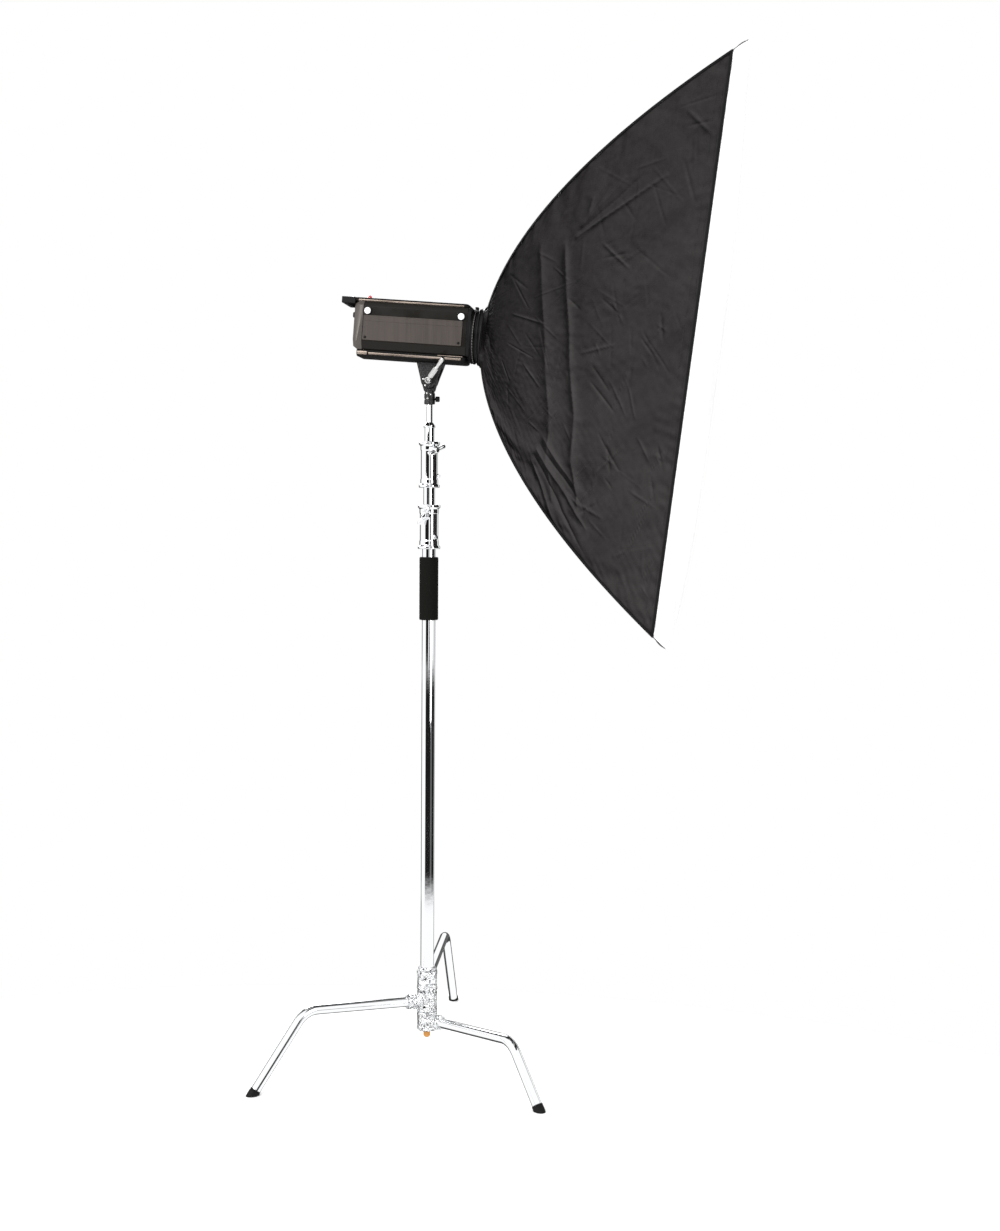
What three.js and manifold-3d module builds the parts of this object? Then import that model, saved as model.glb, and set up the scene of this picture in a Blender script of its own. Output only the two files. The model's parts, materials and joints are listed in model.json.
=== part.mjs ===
// A studio softbox: a chrome stand with three bent legs and two risers, a flash head on a tilting
// bracket, and a large rectangular softbox with a white front on a speedring.
// Millimetres, +Z up. The softbox points along +X. Everything is built around the column's axis,
// and the whole group is moved at the end so that the origin is the bottom centre of its box.

import * as THREE from "three";
import { mergeVertices } from "three/addons/utils/BufferGeometryUtils.js";
import Module from "manifold-3d";

const wasm = await Module();
wasm.setup();

// ---------------------------------------------------------------- driving dimensions

const GAP = 0.3; // clearance between pieces that touch
const DEG = Math.PI / 180;
const SIDES = 24; // facets round a large turned piece
const SMALL = 12; // facets round a small one
const LEG_SIDES = 16;

// column and risers
const COLUMN_R = 17.5;
const COLUMN_WALL = 2;
const COLUMN_BOTTOM = 84;
const COLUMN_TOP = 1358;
const RISER_LOWER_R = 15;
const RISER_UPPER_R = 12.5;
const RISER_WALL = 1.5;
const RISER_LOWER_BOTTOM = 300; // the hidden ends, deep inside the tubes below
const RISER_UPPER_BOTTOM = 360;
const STUD_R = 8;
const LOWER_CLAMP = [1347, 1461]; // bottom and top of the casting on the column
const UPPER_CLAMP = [1505, 1623]; // the same on the lower riser
const CAP_Z = 1659; // underside of the flange that tops the upper riser
const GRIP = [1163, 1326];
const GRIP_R = 24.5;

// legs: azimuth, height of the socket on the column, and slope of the upper run
const LEGS = {
  left: { azimuth: 220, socket: 161, slope: 0.083 },
  right: { azimuth: 316, socket: 109, slope: 0.102 },
  back: { azimuth: 91.5, socket: 216, slope: 0.087 },
};
const LEG_R = 12.5;
const LEG_WALL = 2;
const KNEE_RADIUS = 352; // from the column to the knee
const LEG_SPLAY = 0.762; // how far the lower run goes out for each millimetre down
const KNEE_BEND = 60;
const FOOT_R = 14;
const FOOT_CAP = 16; // length of the rubber cap along the leg
const FOOT_GAP = 12; // the leg's tube stops this short of the floor
const SOCKET_R = 19;
const SOCKET_REACH = 60;

// hub castings on the column, as [bottom, top]
const HUB_R = 27;
const HUB_LOWER = [COLUMN_BOTTOM, 134];
const HUB_MIDDLE = [134.5, 187];
const HUB_UPPER = [187.5, 242];
const HUB_COLLAR = [242.5, 251];
const LOCK_AZIMUTH = -53; // the sprung pin that holds the legs open
const LOCK_RADIUS = 34;
const LOCK_BOSS_R = 9;
const LOCK_PIN_R = 5;

// head: the tilt pivot on the column's axis, and the lamp's axis above it
const PIVOT_Z = 1779;
const HEAD_PITCH = 4.2 * DEG;
const AXIS_W = 119;
const BODY_REAR = -197;
const COVER_FRONT = -173;
const BODY_FRONT = 95;
const BODY_HALF_WIDTH = 62;
const BODY_WALL = 2.5;
const RAIL_HALF_WIDTH = 50;
const CHEEK_IN = 12;
const CHEEK_OUT = 20;
const PIVOT_BOSS_R = 20;

// speedring and softbox
const RING_X = 131; // centre of the speedring along the lamp's axis
const RING_R = 73;
const BORE_R = 50.4;
const DROOP = 2.8 * DEG; // the box hangs a little below the lamp's axis
const BOX_START = 12; // where the fabric starts, from the ring's centre
const BOX_DEPTH = 574; // where the rod tips end
const NECK = { y: 62, z: 68 };
const RIM = { y: 350, z: 700 };
const FLARE = 1.75; // the rods bow outwards: x grows as the FLARE power of the spread
const FLARE_START = 0.1;
const FABRIC = 2.5;
const CORNER_NOTCH = 12; // room for the rod between two panels
const ROD_R = 2.5;
const ROD_END = 0.985; // the tips stop just inside the band's corners
const BAND_START = 0.96; // share of the rod where black fabric gives way to the white band
const FRONT_BULGE = 26;
const BAFFLE_AT = 0.62; // share of the rod where the inner baffle hangs

// ---------------------------------------------------------------- materials

function finish(color, roughness, metalness) {
  return new THREE.MeshStandardMaterial({ color, roughness, metalness });
}

const CHROME = finish(0xd9dcde, 0.08, 1);
const RUBBER = finish(0x1c1b1b, 0.8, 0);
const FOAM = finish(0x242323, 0.95, 0);
const TAN = finish(0xc08a4a, 0.5, 0);
const HAMMERED = finish(0x2c2b2a, 0.45, 0.6);
const SILVER = finish(0xb9bab8, 0.3, 0.9);
const BODY = finish(0x2b2724, 0.42, 0.5);
const SIDE = finish(0x4a423c, 0.5, 0.4);
const RAIL = finish(0x9a8a7a, 0.3, 0.8);
const BLACK = finish(0x151515, 0.5, 0);
const GLASS = finish(0xe8eef0, 0.05, 0);
const CREAM = finish(0xe8e2d4, 0.6, 0);
const RED = finish(0xb01c20, 0.25, 0);
const TEAL = finish(0x2b8f86, 0.4, 0);
const FABRIC_BLACK = finish(0x3a3736, 0.9, 0);
const FABRIC_WHITE = finish(0xf4f4f2, 0.9, 0);

// ---------------------------------------------------------------- solids

/** Closed, outward-facing geometry with its shared vertices merged. */
function closed(geometry) {
  const bare = geometry.index ? geometry.toNonIndexed() : geometry.clone();
  bare.deleteAttribute("normal");
  bare.deleteAttribute("uv");
  const merged = mergeVertices(bare, 1e-4);
  const p = merged.attributes.position;
  const index = [];
  const a = new THREE.Vector3();
  const b = new THREE.Vector3();
  const c = new THREE.Vector3();
  let volume = 0;
  for (let i = 0; i < merged.index.count; i += 3) {
    const [i0, i1, i2] = [0, 1, 2].map((k) => merged.index.getX(i + k));
    if (i0 === i1 || i1 === i2 || i2 === i0) continue;
    index.push(i0, i1, i2);
    a.fromBufferAttribute(p, i0);
    b.fromBufferAttribute(p, i1);
    c.fromBufferAttribute(p, i2);
    volume += a.dot(b.cross(c));
  }
  if (volume < 0) index.reverse();
  merged.setIndex(index);
  return merged;
}

function solid(geometry) {
  const shape = closed(geometry);
  return new wasm.Manifold(
    new wasm.Mesh({
      numProp: 3,
      vertProperties: new Float32Array(shape.attributes.position.array),
      triVerts: new Uint32Array(shape.index.array),
    }),
  );
}

function join(first, ...others) {
  return others.reduce((whole, other) => whole.add(other), first);
}

function cut(first, ...others) {
  return others.reduce((whole, other) => whole.subtract(other), first);
}

function geometryOf(shape) {
  const mesh = shape.getMesh();
  const geometry = new THREE.BufferGeometry();
  geometry.setAttribute("position", new THREE.BufferAttribute(new Float32Array(mesh.vertProperties), 3));
  geometry.setIndex(new THREE.BufferAttribute(new Uint32Array(mesh.triVerts), 1));
  geometry.computeVertexNormals();
  return geometry;
}

/** A solid of revolution about Z from [radius, height] pairs. */
function turned(profile, sides = SIDES) {
  const points = profile.map(([r, z]) => new THREE.Vector2(r, z));
  return solid(new THREE.LatheGeometry(points, sides).rotateX(Math.PI / 2));
}

function disc(radius, z0, z1, sides = SIDES) {
  return turned([[0, z0], [radius, z0], [radius, z1], [0, z1]], sides);
}

/** A drill for a piece of a radius, wide enough that flat facets clear it. */
function bore(radius, z0, z1, sides = SIDES) {
  return disc((radius + GAP) / Math.cos(Math.PI / sides), z0, z1, sides);
}

function pipe(outer, inner, z0, z1, sides = SIDES) {
  return turned([[inner, z0], [outer, z0], [outer, z1], [inner, z1], [inner, z0]], sides);
}

function block([x0, x1], [y0, y1], [z0, z1]) {
  const geometry = new THREE.BoxGeometry(x1 - x0, y1 - y0, z1 - z0);
  return solid(geometry.translate((x0 + x1) / 2, (y0 + y1) / 2, (z0 + z1) / 2));
}

function shapeOf(points) {
  return new THREE.Shape(points.map(([u, v]) => new THREE.Vector2(u, v)));
}

/** An outline of [y, z] pairs drawn along X. */
function alongX(points, x0, x1) {
  const geometry = new THREE.ExtrudeGeometry(shapeOf(points), { depth: x1 - x0, bevelEnabled: false });
  const turn = new THREE.Matrix4().makeBasis(
    new THREE.Vector3(0, 1, 0),
    new THREE.Vector3(0, 0, 1),
    new THREE.Vector3(1, 0, 0),
  );
  return solid(geometry.applyMatrix4(turn).translate(x0, 0, 0));
}

/** An outline of [x, z] pairs drawn along Y. */
function alongY(points, y0, y1) {
  const geometry = new THREE.ExtrudeGeometry(shapeOf(points), { depth: y1 - y0, bevelEnabled: false });
  return solid(geometry.rotateX(Math.PI / 2).translate(0, y1, 0));
}

/** A solid through rings of points, each ring a convex outline in the same order. */
function lofted(rings) {
  const corners = [];
  const triangle = (a, b, c) => corners.push(...a, ...b, ...c);
  for (let k = 0; k + 1 < rings.length; k += 1) {
    const near = rings[k];
    const far = rings[k + 1];
    for (let i = 0; i < near.length; i += 1) {
      const j = (i + 1) % near.length;
      triangle(near[i], near[j], far[j]);
      triangle(near[i], far[j], far[i]);
    }
  }
  const first = rings[0];
  const last = rings[rings.length - 1];
  for (let i = 1; i + 1 < first.length; i += 1) {
    triangle(first[0], first[i + 1], first[i]);
    triangle(last[0], last[i], last[i + 1]);
  }
  const geometry = new THREE.BufferGeometry();
  geometry.setAttribute("position", new THREE.Float32BufferAttribute(corners, 3));
  return solid(geometry);
}

/** Moves a solid built along Z so that Z points along a direction, from a place. */
function aimed(shape, place, direction) {
  const turn = new THREE.Quaternion().setFromUnitVectors(
    new THREE.Vector3(0, 0, 1),
    new THREE.Vector3(...direction).normalize(),
  );
  const matrix = new THREE.Matrix4().compose(new THREE.Vector3(...place), turn, new THREE.Vector3(1, 1, 1));
  return shape.transform(matrix.elements);
}

function add(parent, name, shape, material) {
  const mesh = new THREE.Mesh(geometryOf(shape), material);
  mesh.name = name;
  parent.add(mesh);
  return mesh;
}

function around(azimuth, radius, z) {
  return [radius * Math.cos(azimuth * DEG), radius * Math.sin(azimuth * DEG), z];
}

// ---------------------------------------------------------------- legs and hub

/** A leg's centre line: a rising upper run, a round knee, and a run down to the floor. */
class LegCurve extends THREE.Curve {
  constructor({ azimuth, socket, slope }) {
    super();
    const flat = (radius, z) => new THREE.Vector3(...around(azimuth, radius, z));
    const kneeHeight = socket + slope * KNEE_RADIUS;
    this.knee = flat(KNEE_RADIUS, kneeHeight);
    this.inner = flat(SOCKET_REACH / 2, socket + (slope * SOCKET_REACH) / 2);
    this.floor = flat(KNEE_RADIUS + LEG_SPLAY * kneeHeight, 0);
    this.up = this.knee.clone().sub(this.inner).normalize();
    this.down = this.floor.clone().sub(this.knee).normalize();
    const half = this.up.angleTo(this.down) / 2;
    this.half = half;
    const reach = KNEE_BEND * Math.tan(half);
    this.bendStart = this.knee.clone().addScaledVector(this.up, -reach);
    this.end = this.floor.clone().addScaledVector(this.down, -FOOT_GAP);
    this.inward = this.down.clone().sub(this.up).normalize();
    this.centre = this.knee.clone().addScaledVector(this.inward, KNEE_BEND / Math.cos(half));
  }

  getPoint(t) {
    if (t <= LegCurve.STRAIGHT) {
      return this.inner.clone().lerp(this.bendStart, t / LegCurve.STRAIGHT);
    }
    const spoke = this.bendStart.clone().sub(this.centre);
    const turn = Math.min((t - LegCurve.STRAIGHT) / (1 - 2 * LegCurve.STRAIGHT), 1) * 2 * this.half;
    const point = this.centre.clone();
    point.addScaledVector(spoke, Math.cos(turn));
    point.addScaledVector(this.up, KNEE_BEND * Math.sin(turn));
    if (t <= 1 - LegCurve.STRAIGHT) return point;
    return point.lerp(this.end, (t - 1 + LegCurve.STRAIGHT) / LegCurve.STRAIGHT);
  }

  getPointAt(u) {
    return this.getPoint(u);
  }

  getTangentAt(u) {
    return this.getTangent(u);
  }
}
LegCurve.STEPS = 8;
LegCurve.STRAIGHT = 1 / LegCurve.STEPS;

function circleShape(radius, sides) {
  const angles = Array.from({ length: sides }, (_, i) => (i * 2 * Math.PI) / sides);
  return shapeOf(angles.map((angle) => [radius * Math.cos(angle), radius * Math.sin(angle)]));
}

function legTube(curve) {
  const section = circleShape(LEG_R, LEG_SIDES);
  section.holes.push(circleShape(LEG_R - LEG_WALL, LEG_SIDES));
  return solid(new THREE.ExtrudeGeometry(section, { steps: LegCurve.STEPS, extrudePath: curve }));
}

/** A rubber cap on the leg's slanting end, cut flat where it stands on the floor. */
function footCap(curve) {
  const up = curve.down.clone().negate();
  const start = curve.floor.clone().addScaledVector(up, -FOOT_R);
  const length = FOOT_R + FOOT_CAP;
  const profile = [[0, 0], [FOOT_R, 0], [FOOT_R, length - 3], [FOOT_R - 2, length], [0, length]];
  const cap = aimed(turned(profile, SMALL), start.toArray(), up.toArray());
  const tube = aimed(bore(LEG_R, 0, 2 * FOOT_CAP, SMALL), curve.end.toArray(), up.toArray());
  const { x, y } = curve.floor;
  const reach = 80; // more than the cap's own size
  const below = block([x - reach, x + reach], [y - reach, y + reach], [-reach, 0]);
  return cut(cap, tube.translate(curve.down.toArray().map((v) => v * GAP)), below);
}

function legSocket({ azimuth, socket, slope }) {
  const collar = SOCKET_REACH - 8;
  const profile = [
    [0, 0],
    [SOCKET_R - 2, 0],
    [SOCKET_R - 2, collar],
    [SOCKET_R, collar + 1],
    [SOCKET_R, SOCKET_REACH],
    [0, SOCKET_REACH],
  ];
  return aimed(turned(profile, LEG_SIDES), [0, 0, socket], around(azimuth, 1, slope));
}

function legBore({ azimuth, socket, slope }) {
  const start = SOCKET_REACH / 2 - 2; // just behind the end of the leg's tube
  const place = around(azimuth, start, socket + slope * start);
  return aimed(bore(LEG_R, 0, SOCKET_REACH, SIDES), place, around(azimuth, 1, slope));
}

/** A hub casting: a ring round the column with one leg's socket, bored for both. */
function hubCasting(leg, [z0, z1], extra) {
  const chamfer = 3;
  const ring = turned([
    [0, z0],
    [HUB_R - chamfer, z0],
    [HUB_R, z0 + chamfer],
    [HUB_R, z1 - chamfer],
    [HUB_R - chamfer, z1],
    [0, z1],
  ]);
  const whole = extra ? join(ring, legSocket(leg), extra) : join(ring, legSocket(leg));
  return cut(whole, bore(COLUMN_R, z0 - 1, z1 + 1), legBore(leg));
}

function buildHub(stand) {
  add(stand, "column_tube", pipe(COLUMN_R, COLUMN_R - COLUMN_WALL, COLUMN_BOTTOM, COLUMN_TOP), CHROME);
  const seat = COLUMN_BOTTOM - GAP;
  const button = [[0, 63], [6, 64], [9, 69], [9, 80], [COLUMN_R - 2, 81], [COLUMN_R - 2, seat], [0, seat]];
  add(stand, "column_end_plug", turned(button), TAN);

  add(stand, "hub_casting_lower", hubCasting(LEGS.right, HUB_LOWER), CHROME);
  const bossPlace = around(LOCK_AZIMUTH, LOCK_RADIUS - 10, 0);
  const boss = disc(LOCK_BOSS_R, HUB_MIDDLE[0] + 5, HUB_MIDDLE[1] - GAP, SMALL).translate(bossPlace);
  add(stand, "hub_casting_middle", hubCasting(LEGS.left, HUB_MIDDLE, boss), CHROME);

  const lockPlace = around(LOCK_AZIMUTH, LOCK_RADIUS, 0);
  const floor = HUB_UPPER[0] + 2; // underside of the pin
  const sleeveTop = floor + 22;
  const sleeve = disc(LOCK_BOSS_R, floor + 1, sleeveTop, SMALL).translate(lockPlace);
  const lockBore = bore(LOCK_PIN_R, floor - 2, sleeveTop + 20, SMALL).translate(lockPlace);
  add(stand, "hub_casting_upper", cut(hubCasting(LEGS.back, HUB_UPPER, sleeve), lockBore), CHROME);
  const plunger = turned([
    [0, floor],
    [LOCK_PIN_R, floor],
    [LOCK_PIN_R, sleeveTop + 2],
    [LOCK_PIN_R + 2, sleeveTop + 3],
    [LOCK_PIN_R + 2, sleeveTop + 17],
    [LOCK_PIN_R, sleeveTop + 19],
    [0, sleeveTop + 19],
  ], SMALL);
  add(stand, "leg_lock_plunger", plunger.translate(lockPlace), CHROME);
  const [collarLow, collarHigh] = HUB_COLLAR;
  const collar = turned([
    [COLUMN_R + GAP, collarLow],
    [HUB_R - 4, collarLow],
    [HUB_R - 4, collarHigh - 2],
    [HUB_R - 6, collarHigh],
    [COLUMN_R + GAP, collarHigh],
    [COLUMN_R + GAP, collarLow],
  ]);
  add(stand, "hub_collar", collar, CHROME);

  for (const [side, leg] of Object.entries(LEGS)) {
    const curve = new LegCurve(leg);
    add(stand, `leg_${side}`, legTube(curve), CHROME);
    add(stand, `foot_${side}`, footCap(curve), RUBBER);
  }
}

// ---------------------------------------------------------------- column, clamps and risers

const KNOB_SHAFT_R = 4;
const LOWER_CLAMP_R = 25;
const UPPER_CLAMP_R = 23;
const LOWER_KNOB = { azimuth: -100, z: 1433, tilt: 60 };
const UPPER_KNOB = { azimuth: -52, z: 1600, tilt: 25 };

/** A riser clamp: a flanged casting on the lower tube that the upper tube slides through. */
function clampCasting([z0, z1], tube, outer, riser, knob) {
  const flange = outer + 4;
  const shell = turned([
    [0, z0],
    [flange, z0],
    [flange, z0 + 8],
    [outer, z0 + 10],
    [outer, z1 - 10],
    [flange, z1 - 8],
    [flange, z1 - 2],
    [flange - 2, z1],
    [0, z1],
  ]);
  const facing = around(knob.azimuth, 1, 0);
  const boss = aimed(disc(11, 0, outer + 9, SMALL), [0, 0, knob.z], facing);
  const tapped = aimed(bore(KNOB_SHAFT_R, riser + 2, outer + 12, SMALL), [0, 0, knob.z], facing);
  const seat = z0 + 12; // the casting's lower bore holds the lower tube, and the riser passes above it
  const bores = [bore(tube, z0 - 1, seat), bore(riser, seat - 1, z1 + 1)];
  return cut(join(shell, boss), ...bores, tapped);
}

/** A tee-handled screw that clamps a riser. */
function teeKnob(outer, riser, { azimuth, z, tilt }) {
  const shaft = disc(KNOB_SHAFT_R, riser + 3, outer + 14, SMALL);
  const hub = disc(2 * KNOB_SHAFT_R, outer + 10, outer + 20, SMALL);
  const barProfile = [[0, -27], [3.5, -27], [4.5, -20], [4.5, 20], [3.5, 27], [0, 27]];
  const bar = aimed(turned(barProfile, SMALL), [0, 0, outer + 16], around(tilt, 1, 0));
  return aimed(join(shaft, hub, bar), [0, 0, z], around(azimuth, 1, 0));
}

function buildColumn(stand) {
  const grip = turned([
    [COLUMN_R + GAP, GRIP[0]],
    [GRIP_R - 1.5, GRIP[0]],
    [GRIP_R, GRIP[0] + 1.5],
    [GRIP_R, GRIP[1] - 1.5],
    [GRIP_R - 1.5, GRIP[1]],
    [COLUMN_R + GAP, GRIP[1]],
    [COLUMN_R + GAP, GRIP[0]],
  ]);
  add(stand, "foam_grip", grip, FOAM);

  const lower = clampCasting(LOWER_CLAMP, COLUMN_R, LOWER_CLAMP_R, RISER_LOWER_R, LOWER_KNOB);
  add(stand, "lower_clamp", lower, CHROME);
  add(stand, "lower_clamp_knob", teeKnob(LOWER_CLAMP_R, RISER_LOWER_R, LOWER_KNOB), CHROME);

  const lowerTop = UPPER_CLAMP[0] + 11;
  const lowerInside = RISER_LOWER_R - RISER_WALL;
  const lowerRiser = pipe(RISER_LOWER_R, lowerInside, RISER_LOWER_BOTTOM, lowerTop);
  add(stand, "riser_lower_tube", lowerRiser, CHROME);
  const upper = clampCasting(UPPER_CLAMP, RISER_LOWER_R, UPPER_CLAMP_R, RISER_UPPER_R, UPPER_KNOB);
  add(stand, "upper_clamp", upper, CHROME);
  add(stand, "upper_clamp_knob", teeKnob(UPPER_CLAMP_R, RISER_UPPER_R, UPPER_KNOB), CHROME);

  const upperInside = RISER_UPPER_R - RISER_WALL;
  const upperRiser = pipe(RISER_UPPER_R, upperInside, RISER_UPPER_BOTTOM, CAP_Z - GAP);
  add(stand, "riser_upper_tube", upperRiser, CHROME);
  const inside = upperInside - GAP;
  const stud = turned([
    [0, CAP_Z - 40],
    [inside, CAP_Z - 40],
    [inside, CAP_Z],
    [15, CAP_Z],
    [15, CAP_Z + 6],
    [10, CAP_Z + 12],
    [STUD_R, CAP_Z + 14],
    [STUD_R, PIVOT_Z - 45],
    [6.5, PIVOT_Z - 43],
    [6.5, PIVOT_Z - 37],
    [STUD_R, PIVOT_Z - 35],
    [STUD_R, PIVOT_Z - 29],
    [STUD_R - 1.5, PIVOT_Z - 27],
    [0, PIVOT_Z - 27],
  ]);
  add(stand, "stand_stud", stud, CHROME);
}

// ---------------------------------------------------------------- tilt bracket

const LEVER_SPLAY = 0.58; // the lever leans outwards to pass the lower rail
const SOCKET_OUTER = 14;
const SOCKET_TOP = -27; // below the pivot
const SOCKET_BOTTOM = -60;
const SOCKET_SCREW = { azimuth: 10, z: -47, radius: 3 };
const TILT_BOLT_R = 4;

/** The lower half of the tilt joint: a tongue with the socket that drops over the stud. */
function buildKnuckle(head) {
  const arc = [];
  for (let angle = -20; angle <= 200; angle += 20) {
    arc.push([PIVOT_BOSS_R * Math.cos(angle * DEG), PIVOT_BOSS_R * Math.sin(angle * DEG)]);
  }
  const tongue = alongY([...arc, [-13, SOCKET_TOP], [13, SOCKET_TOP]], -CHEEK_IN + 0.4, CHEEK_IN - 0.4);
  const socket = disc(SOCKET_OUTER, SOCKET_BOTTOM, SOCKET_TOP + 1);
  const studBore = bore(STUD_R, SOCKET_BOTTOM - 1, SOCKET_TOP + 0.5);
  const cross = aimed(bore(TILT_BOLT_R, -30, 30, SMALL), [0, 0, 0], [0, 1, 0]);
  const screwPlace = [0, 0, SOCKET_SCREW.z];
  const screwFacing = around(SOCKET_SCREW.azimuth, 1, 0);
  const screwHole = aimed(bore(SOCKET_SCREW.radius, 5, 20, SMALL), screwPlace, screwFacing);
  add(head, "tilt_knuckle", cut(join(tongue, socket), studBore, cross, screwHole), HAMMERED);

  const screw = disc(SOCKET_SCREW.radius, STUD_R + 1, SOCKET_OUTER + 2, SMALL);
  const grip = disc(SOCKET_SCREW.radius + 4, SOCKET_OUTER + 1, SOCKET_OUTER + 12, SMALL);
  add(head, "socket_knob", aimed(join(screw, grip), screwPlace, screwFacing), BLACK);
}

/** The upper half: two cheeks under a plate that carries the flash head. */
function buildBracket(head) {
  const top = 45.7;
  const arc = [];
  for (let angle = 200; angle <= 340; angle += 20) {
    arc.push([PIVOT_BOSS_R * Math.cos(angle * DEG), PIVOT_BOSS_R * Math.sin(angle * DEG)]);
  }
  const outline = [...arc, [23, 8], [35, top], [-35, top], [-23, 8]];
  const cheeks = alongY(outline, -CHEEK_OUT, CHEEK_OUT);
  const slot = block([-60, 60], [-CHEEK_IN, CHEEK_IN], [-30, 32]);
  const cross = aimed(bore(TILT_BOLT_R, -30, 30, SMALL), [0, 0, 0], [0, 1, 0]);
  add(head, "tilt_bracket", cut(cheeks, slot, cross), HAMMERED);

  const far = CHEEK_OUT + GAP;
  const hexagon = 6;
  const bolt = join(disc(TILT_BOLT_R, -far - 7, far + 1, SMALL), disc(8, far, far + 6, hexagon));
  add(head, "tilt_bolt", aimed(bolt, [0, 0, 0], [0, 1, 0]), SILVER);

  const leverAngle = 48 * DEG + HEAD_PITCH;
  const hub = aimed(disc(8, far, far + 12, SMALL), [0, 0, 0], [0, -1, 0]);
  const boltBore = aimed(bore(TILT_BOLT_R, far - 1, far + 7 + GAP, SMALL), [0, 0, 0], [0, -1, 0]);
  const rise = [Math.cos(leverAngle), -LEVER_SPLAY, Math.sin(leverAngle)];
  const armProfile = [[0, 0], [4, 0], [4.5, 40], [5.5, 72], [4, 80], [0, 80]];
  const arm = aimed(turned(armProfile, SMALL), [0, -far - 7, 0], rise);
  add(head, "tilt_lever", cut(join(hub, arm), boltBore), SILVER);
}

// ---------------------------------------------------------------- flash head

const BUTTON_R = 4; // the test button
const BUTTON = { y: -32, w: -26 };

/** The body's section as [y, w], w being the height above the lamp's axis. */
const BODY_OUTLINE = [
  [-50, -55],
  [50, -55],
  [BODY_HALF_WIDTH, -36],
  [BODY_HALF_WIDTH, 56],
  [52, 67],
  [-52, 67],
  [-BODY_HALF_WIDTH, 56],
  [-BODY_HALF_WIDTH, -36],
];

function scaledOutline(scale, shrink = 0) {
  const middle = 6;
  return BODY_OUTLINE.map(([y, w]) => [
    y * scale - Math.sign(y) * shrink,
    AXIS_W + middle + (w - middle) * scale - Math.sign(w - middle) * shrink,
  ]);
}

function ringAt(outline, x) {
  return outline.map(([y, z]) => [x, y, z]);
}

function sidePanel(side) {
  const face = side * BODY_HALF_WIDTH;
  const low = side > 0 ? [face + GAP, face + 2] : [face - 2, face - GAP];
  return block([COVER_FRONT + 2, BODY_FRONT - 11], low, [AXIS_W - 32, AXIS_W + 31]);
}

function buildBody(head) {
  const inner = scaledOutline(1, BODY_WALL);
  const casing = cut(
    alongX(scaledOutline(1), COVER_FRONT + GAP, BODY_FRONT),
    alongX(inner, COVER_FRONT - 1, BODY_FRONT + 1),
  );
  add(head, "lamp_casing", casing, BODY);

  const cover = lofted([
    ringAt(scaledOutline(0.88), BODY_REAR),
    ringAt(scaledOutline(1), BODY_REAR + 11),
    ringAt(scaledOutline(1), COVER_FRONT),
  ]);
  const hollow = alongX(scaledOutline(0.86, BODY_WALL), BODY_REAR + 3, COVER_FRONT + 1);
  const vents = [-24, -12, 0, 12, 24].map((y) =>
    block([BODY_REAR - 1, BODY_REAR + 5], [y - 3, y + 3], [AXIS_W - 12, AXIS_W + 14]),
  );
  const wall = [BODY_REAR - 1, BODY_REAR + 5]; // through the cover's rear wall
  const inletHole = block(wall, [13.7, 42.3], [AXIS_W - 41.8, AXIS_W - 19.7]);
  const switchHole = block(wall, [-17.3, -2.7], [AXIS_W - 43.3, AXIS_W - 22.7]);
  const buttonHole = aimed(bore(BUTTON_R, -1, 5, SMALL), [BODY_REAR, BUTTON.y, AXIS_W + BUTTON.w], [1, 0, 0]);
  add(head, "rear_cover", cut(cover, hollow, ...vents, inletHole, switchHole, buttonHole), BODY);

  for (const [name, side] of [["left", 1], ["right", -1]]) {
    add(head, `side_panel_${name}`, sidePanel(side), SIDE);
  }

  const roof = 67 + GAP;
  const topOutline = [[BODY_REAR - 1, roof], [93, roof], [97, 70], [90, 75], [80, 77], [BODY_REAR - 1, 77]];
  const topRail = alongY(topOutline.map(([x, w]) => [x, AXIS_W + w]), -46, 46);
  const topHollow = block([BODY_REAR + 3, 78], [-42, 42], [AXIS_W + roof - 1, AXIS_W + 73]);
  add(head, "top_rail", cut(topRail, topHollow), BODY);

  const bottomOutline = [
    [-186, -69],
    [-182, -73],
    [88, -73],
    [95, -67],
    [95, -62],
    [89, -55 - GAP],
    [-186, -55 - GAP],
  ].map(([x, w]) => [x, AXIS_W + w]);
  const bottomRail = alongY(bottomOutline, -RAIL_HALF_WIDTH, RAIL_HALF_WIDTH);
  const bottomHollow = block([-182, 86], [-46, 46], [AXIS_W - 69, AXIS_W - 50]);
  add(head, "bottom_rail", cut(bottomRail, bottomHollow), RAIL);

  const handleBack = -234;
  const handleFront = BODY_REAR - 1 - GAP;
  const loop = block([handleBack, handleFront], [-50, 50], [AXIS_W + 60, AXIS_W + 76]);
  const grasp = block([handleBack + 12, handleFront - 3], [-40, 40], [AXIS_W + 56, AXIS_W + 80]);
  add(head, "rear_handle", cut(loop, grasp), BLACK);
}

function dial(radius, depth) {
  const skirt = [[0, 0], [radius + 1, 0], [radius + 1, 2]];
  const barrel = [[radius, 3], [radius, depth - 1], [radius - 1, depth], [0, depth]];
  return turned([...skirt, ...barrel], SMALL);
}

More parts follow.
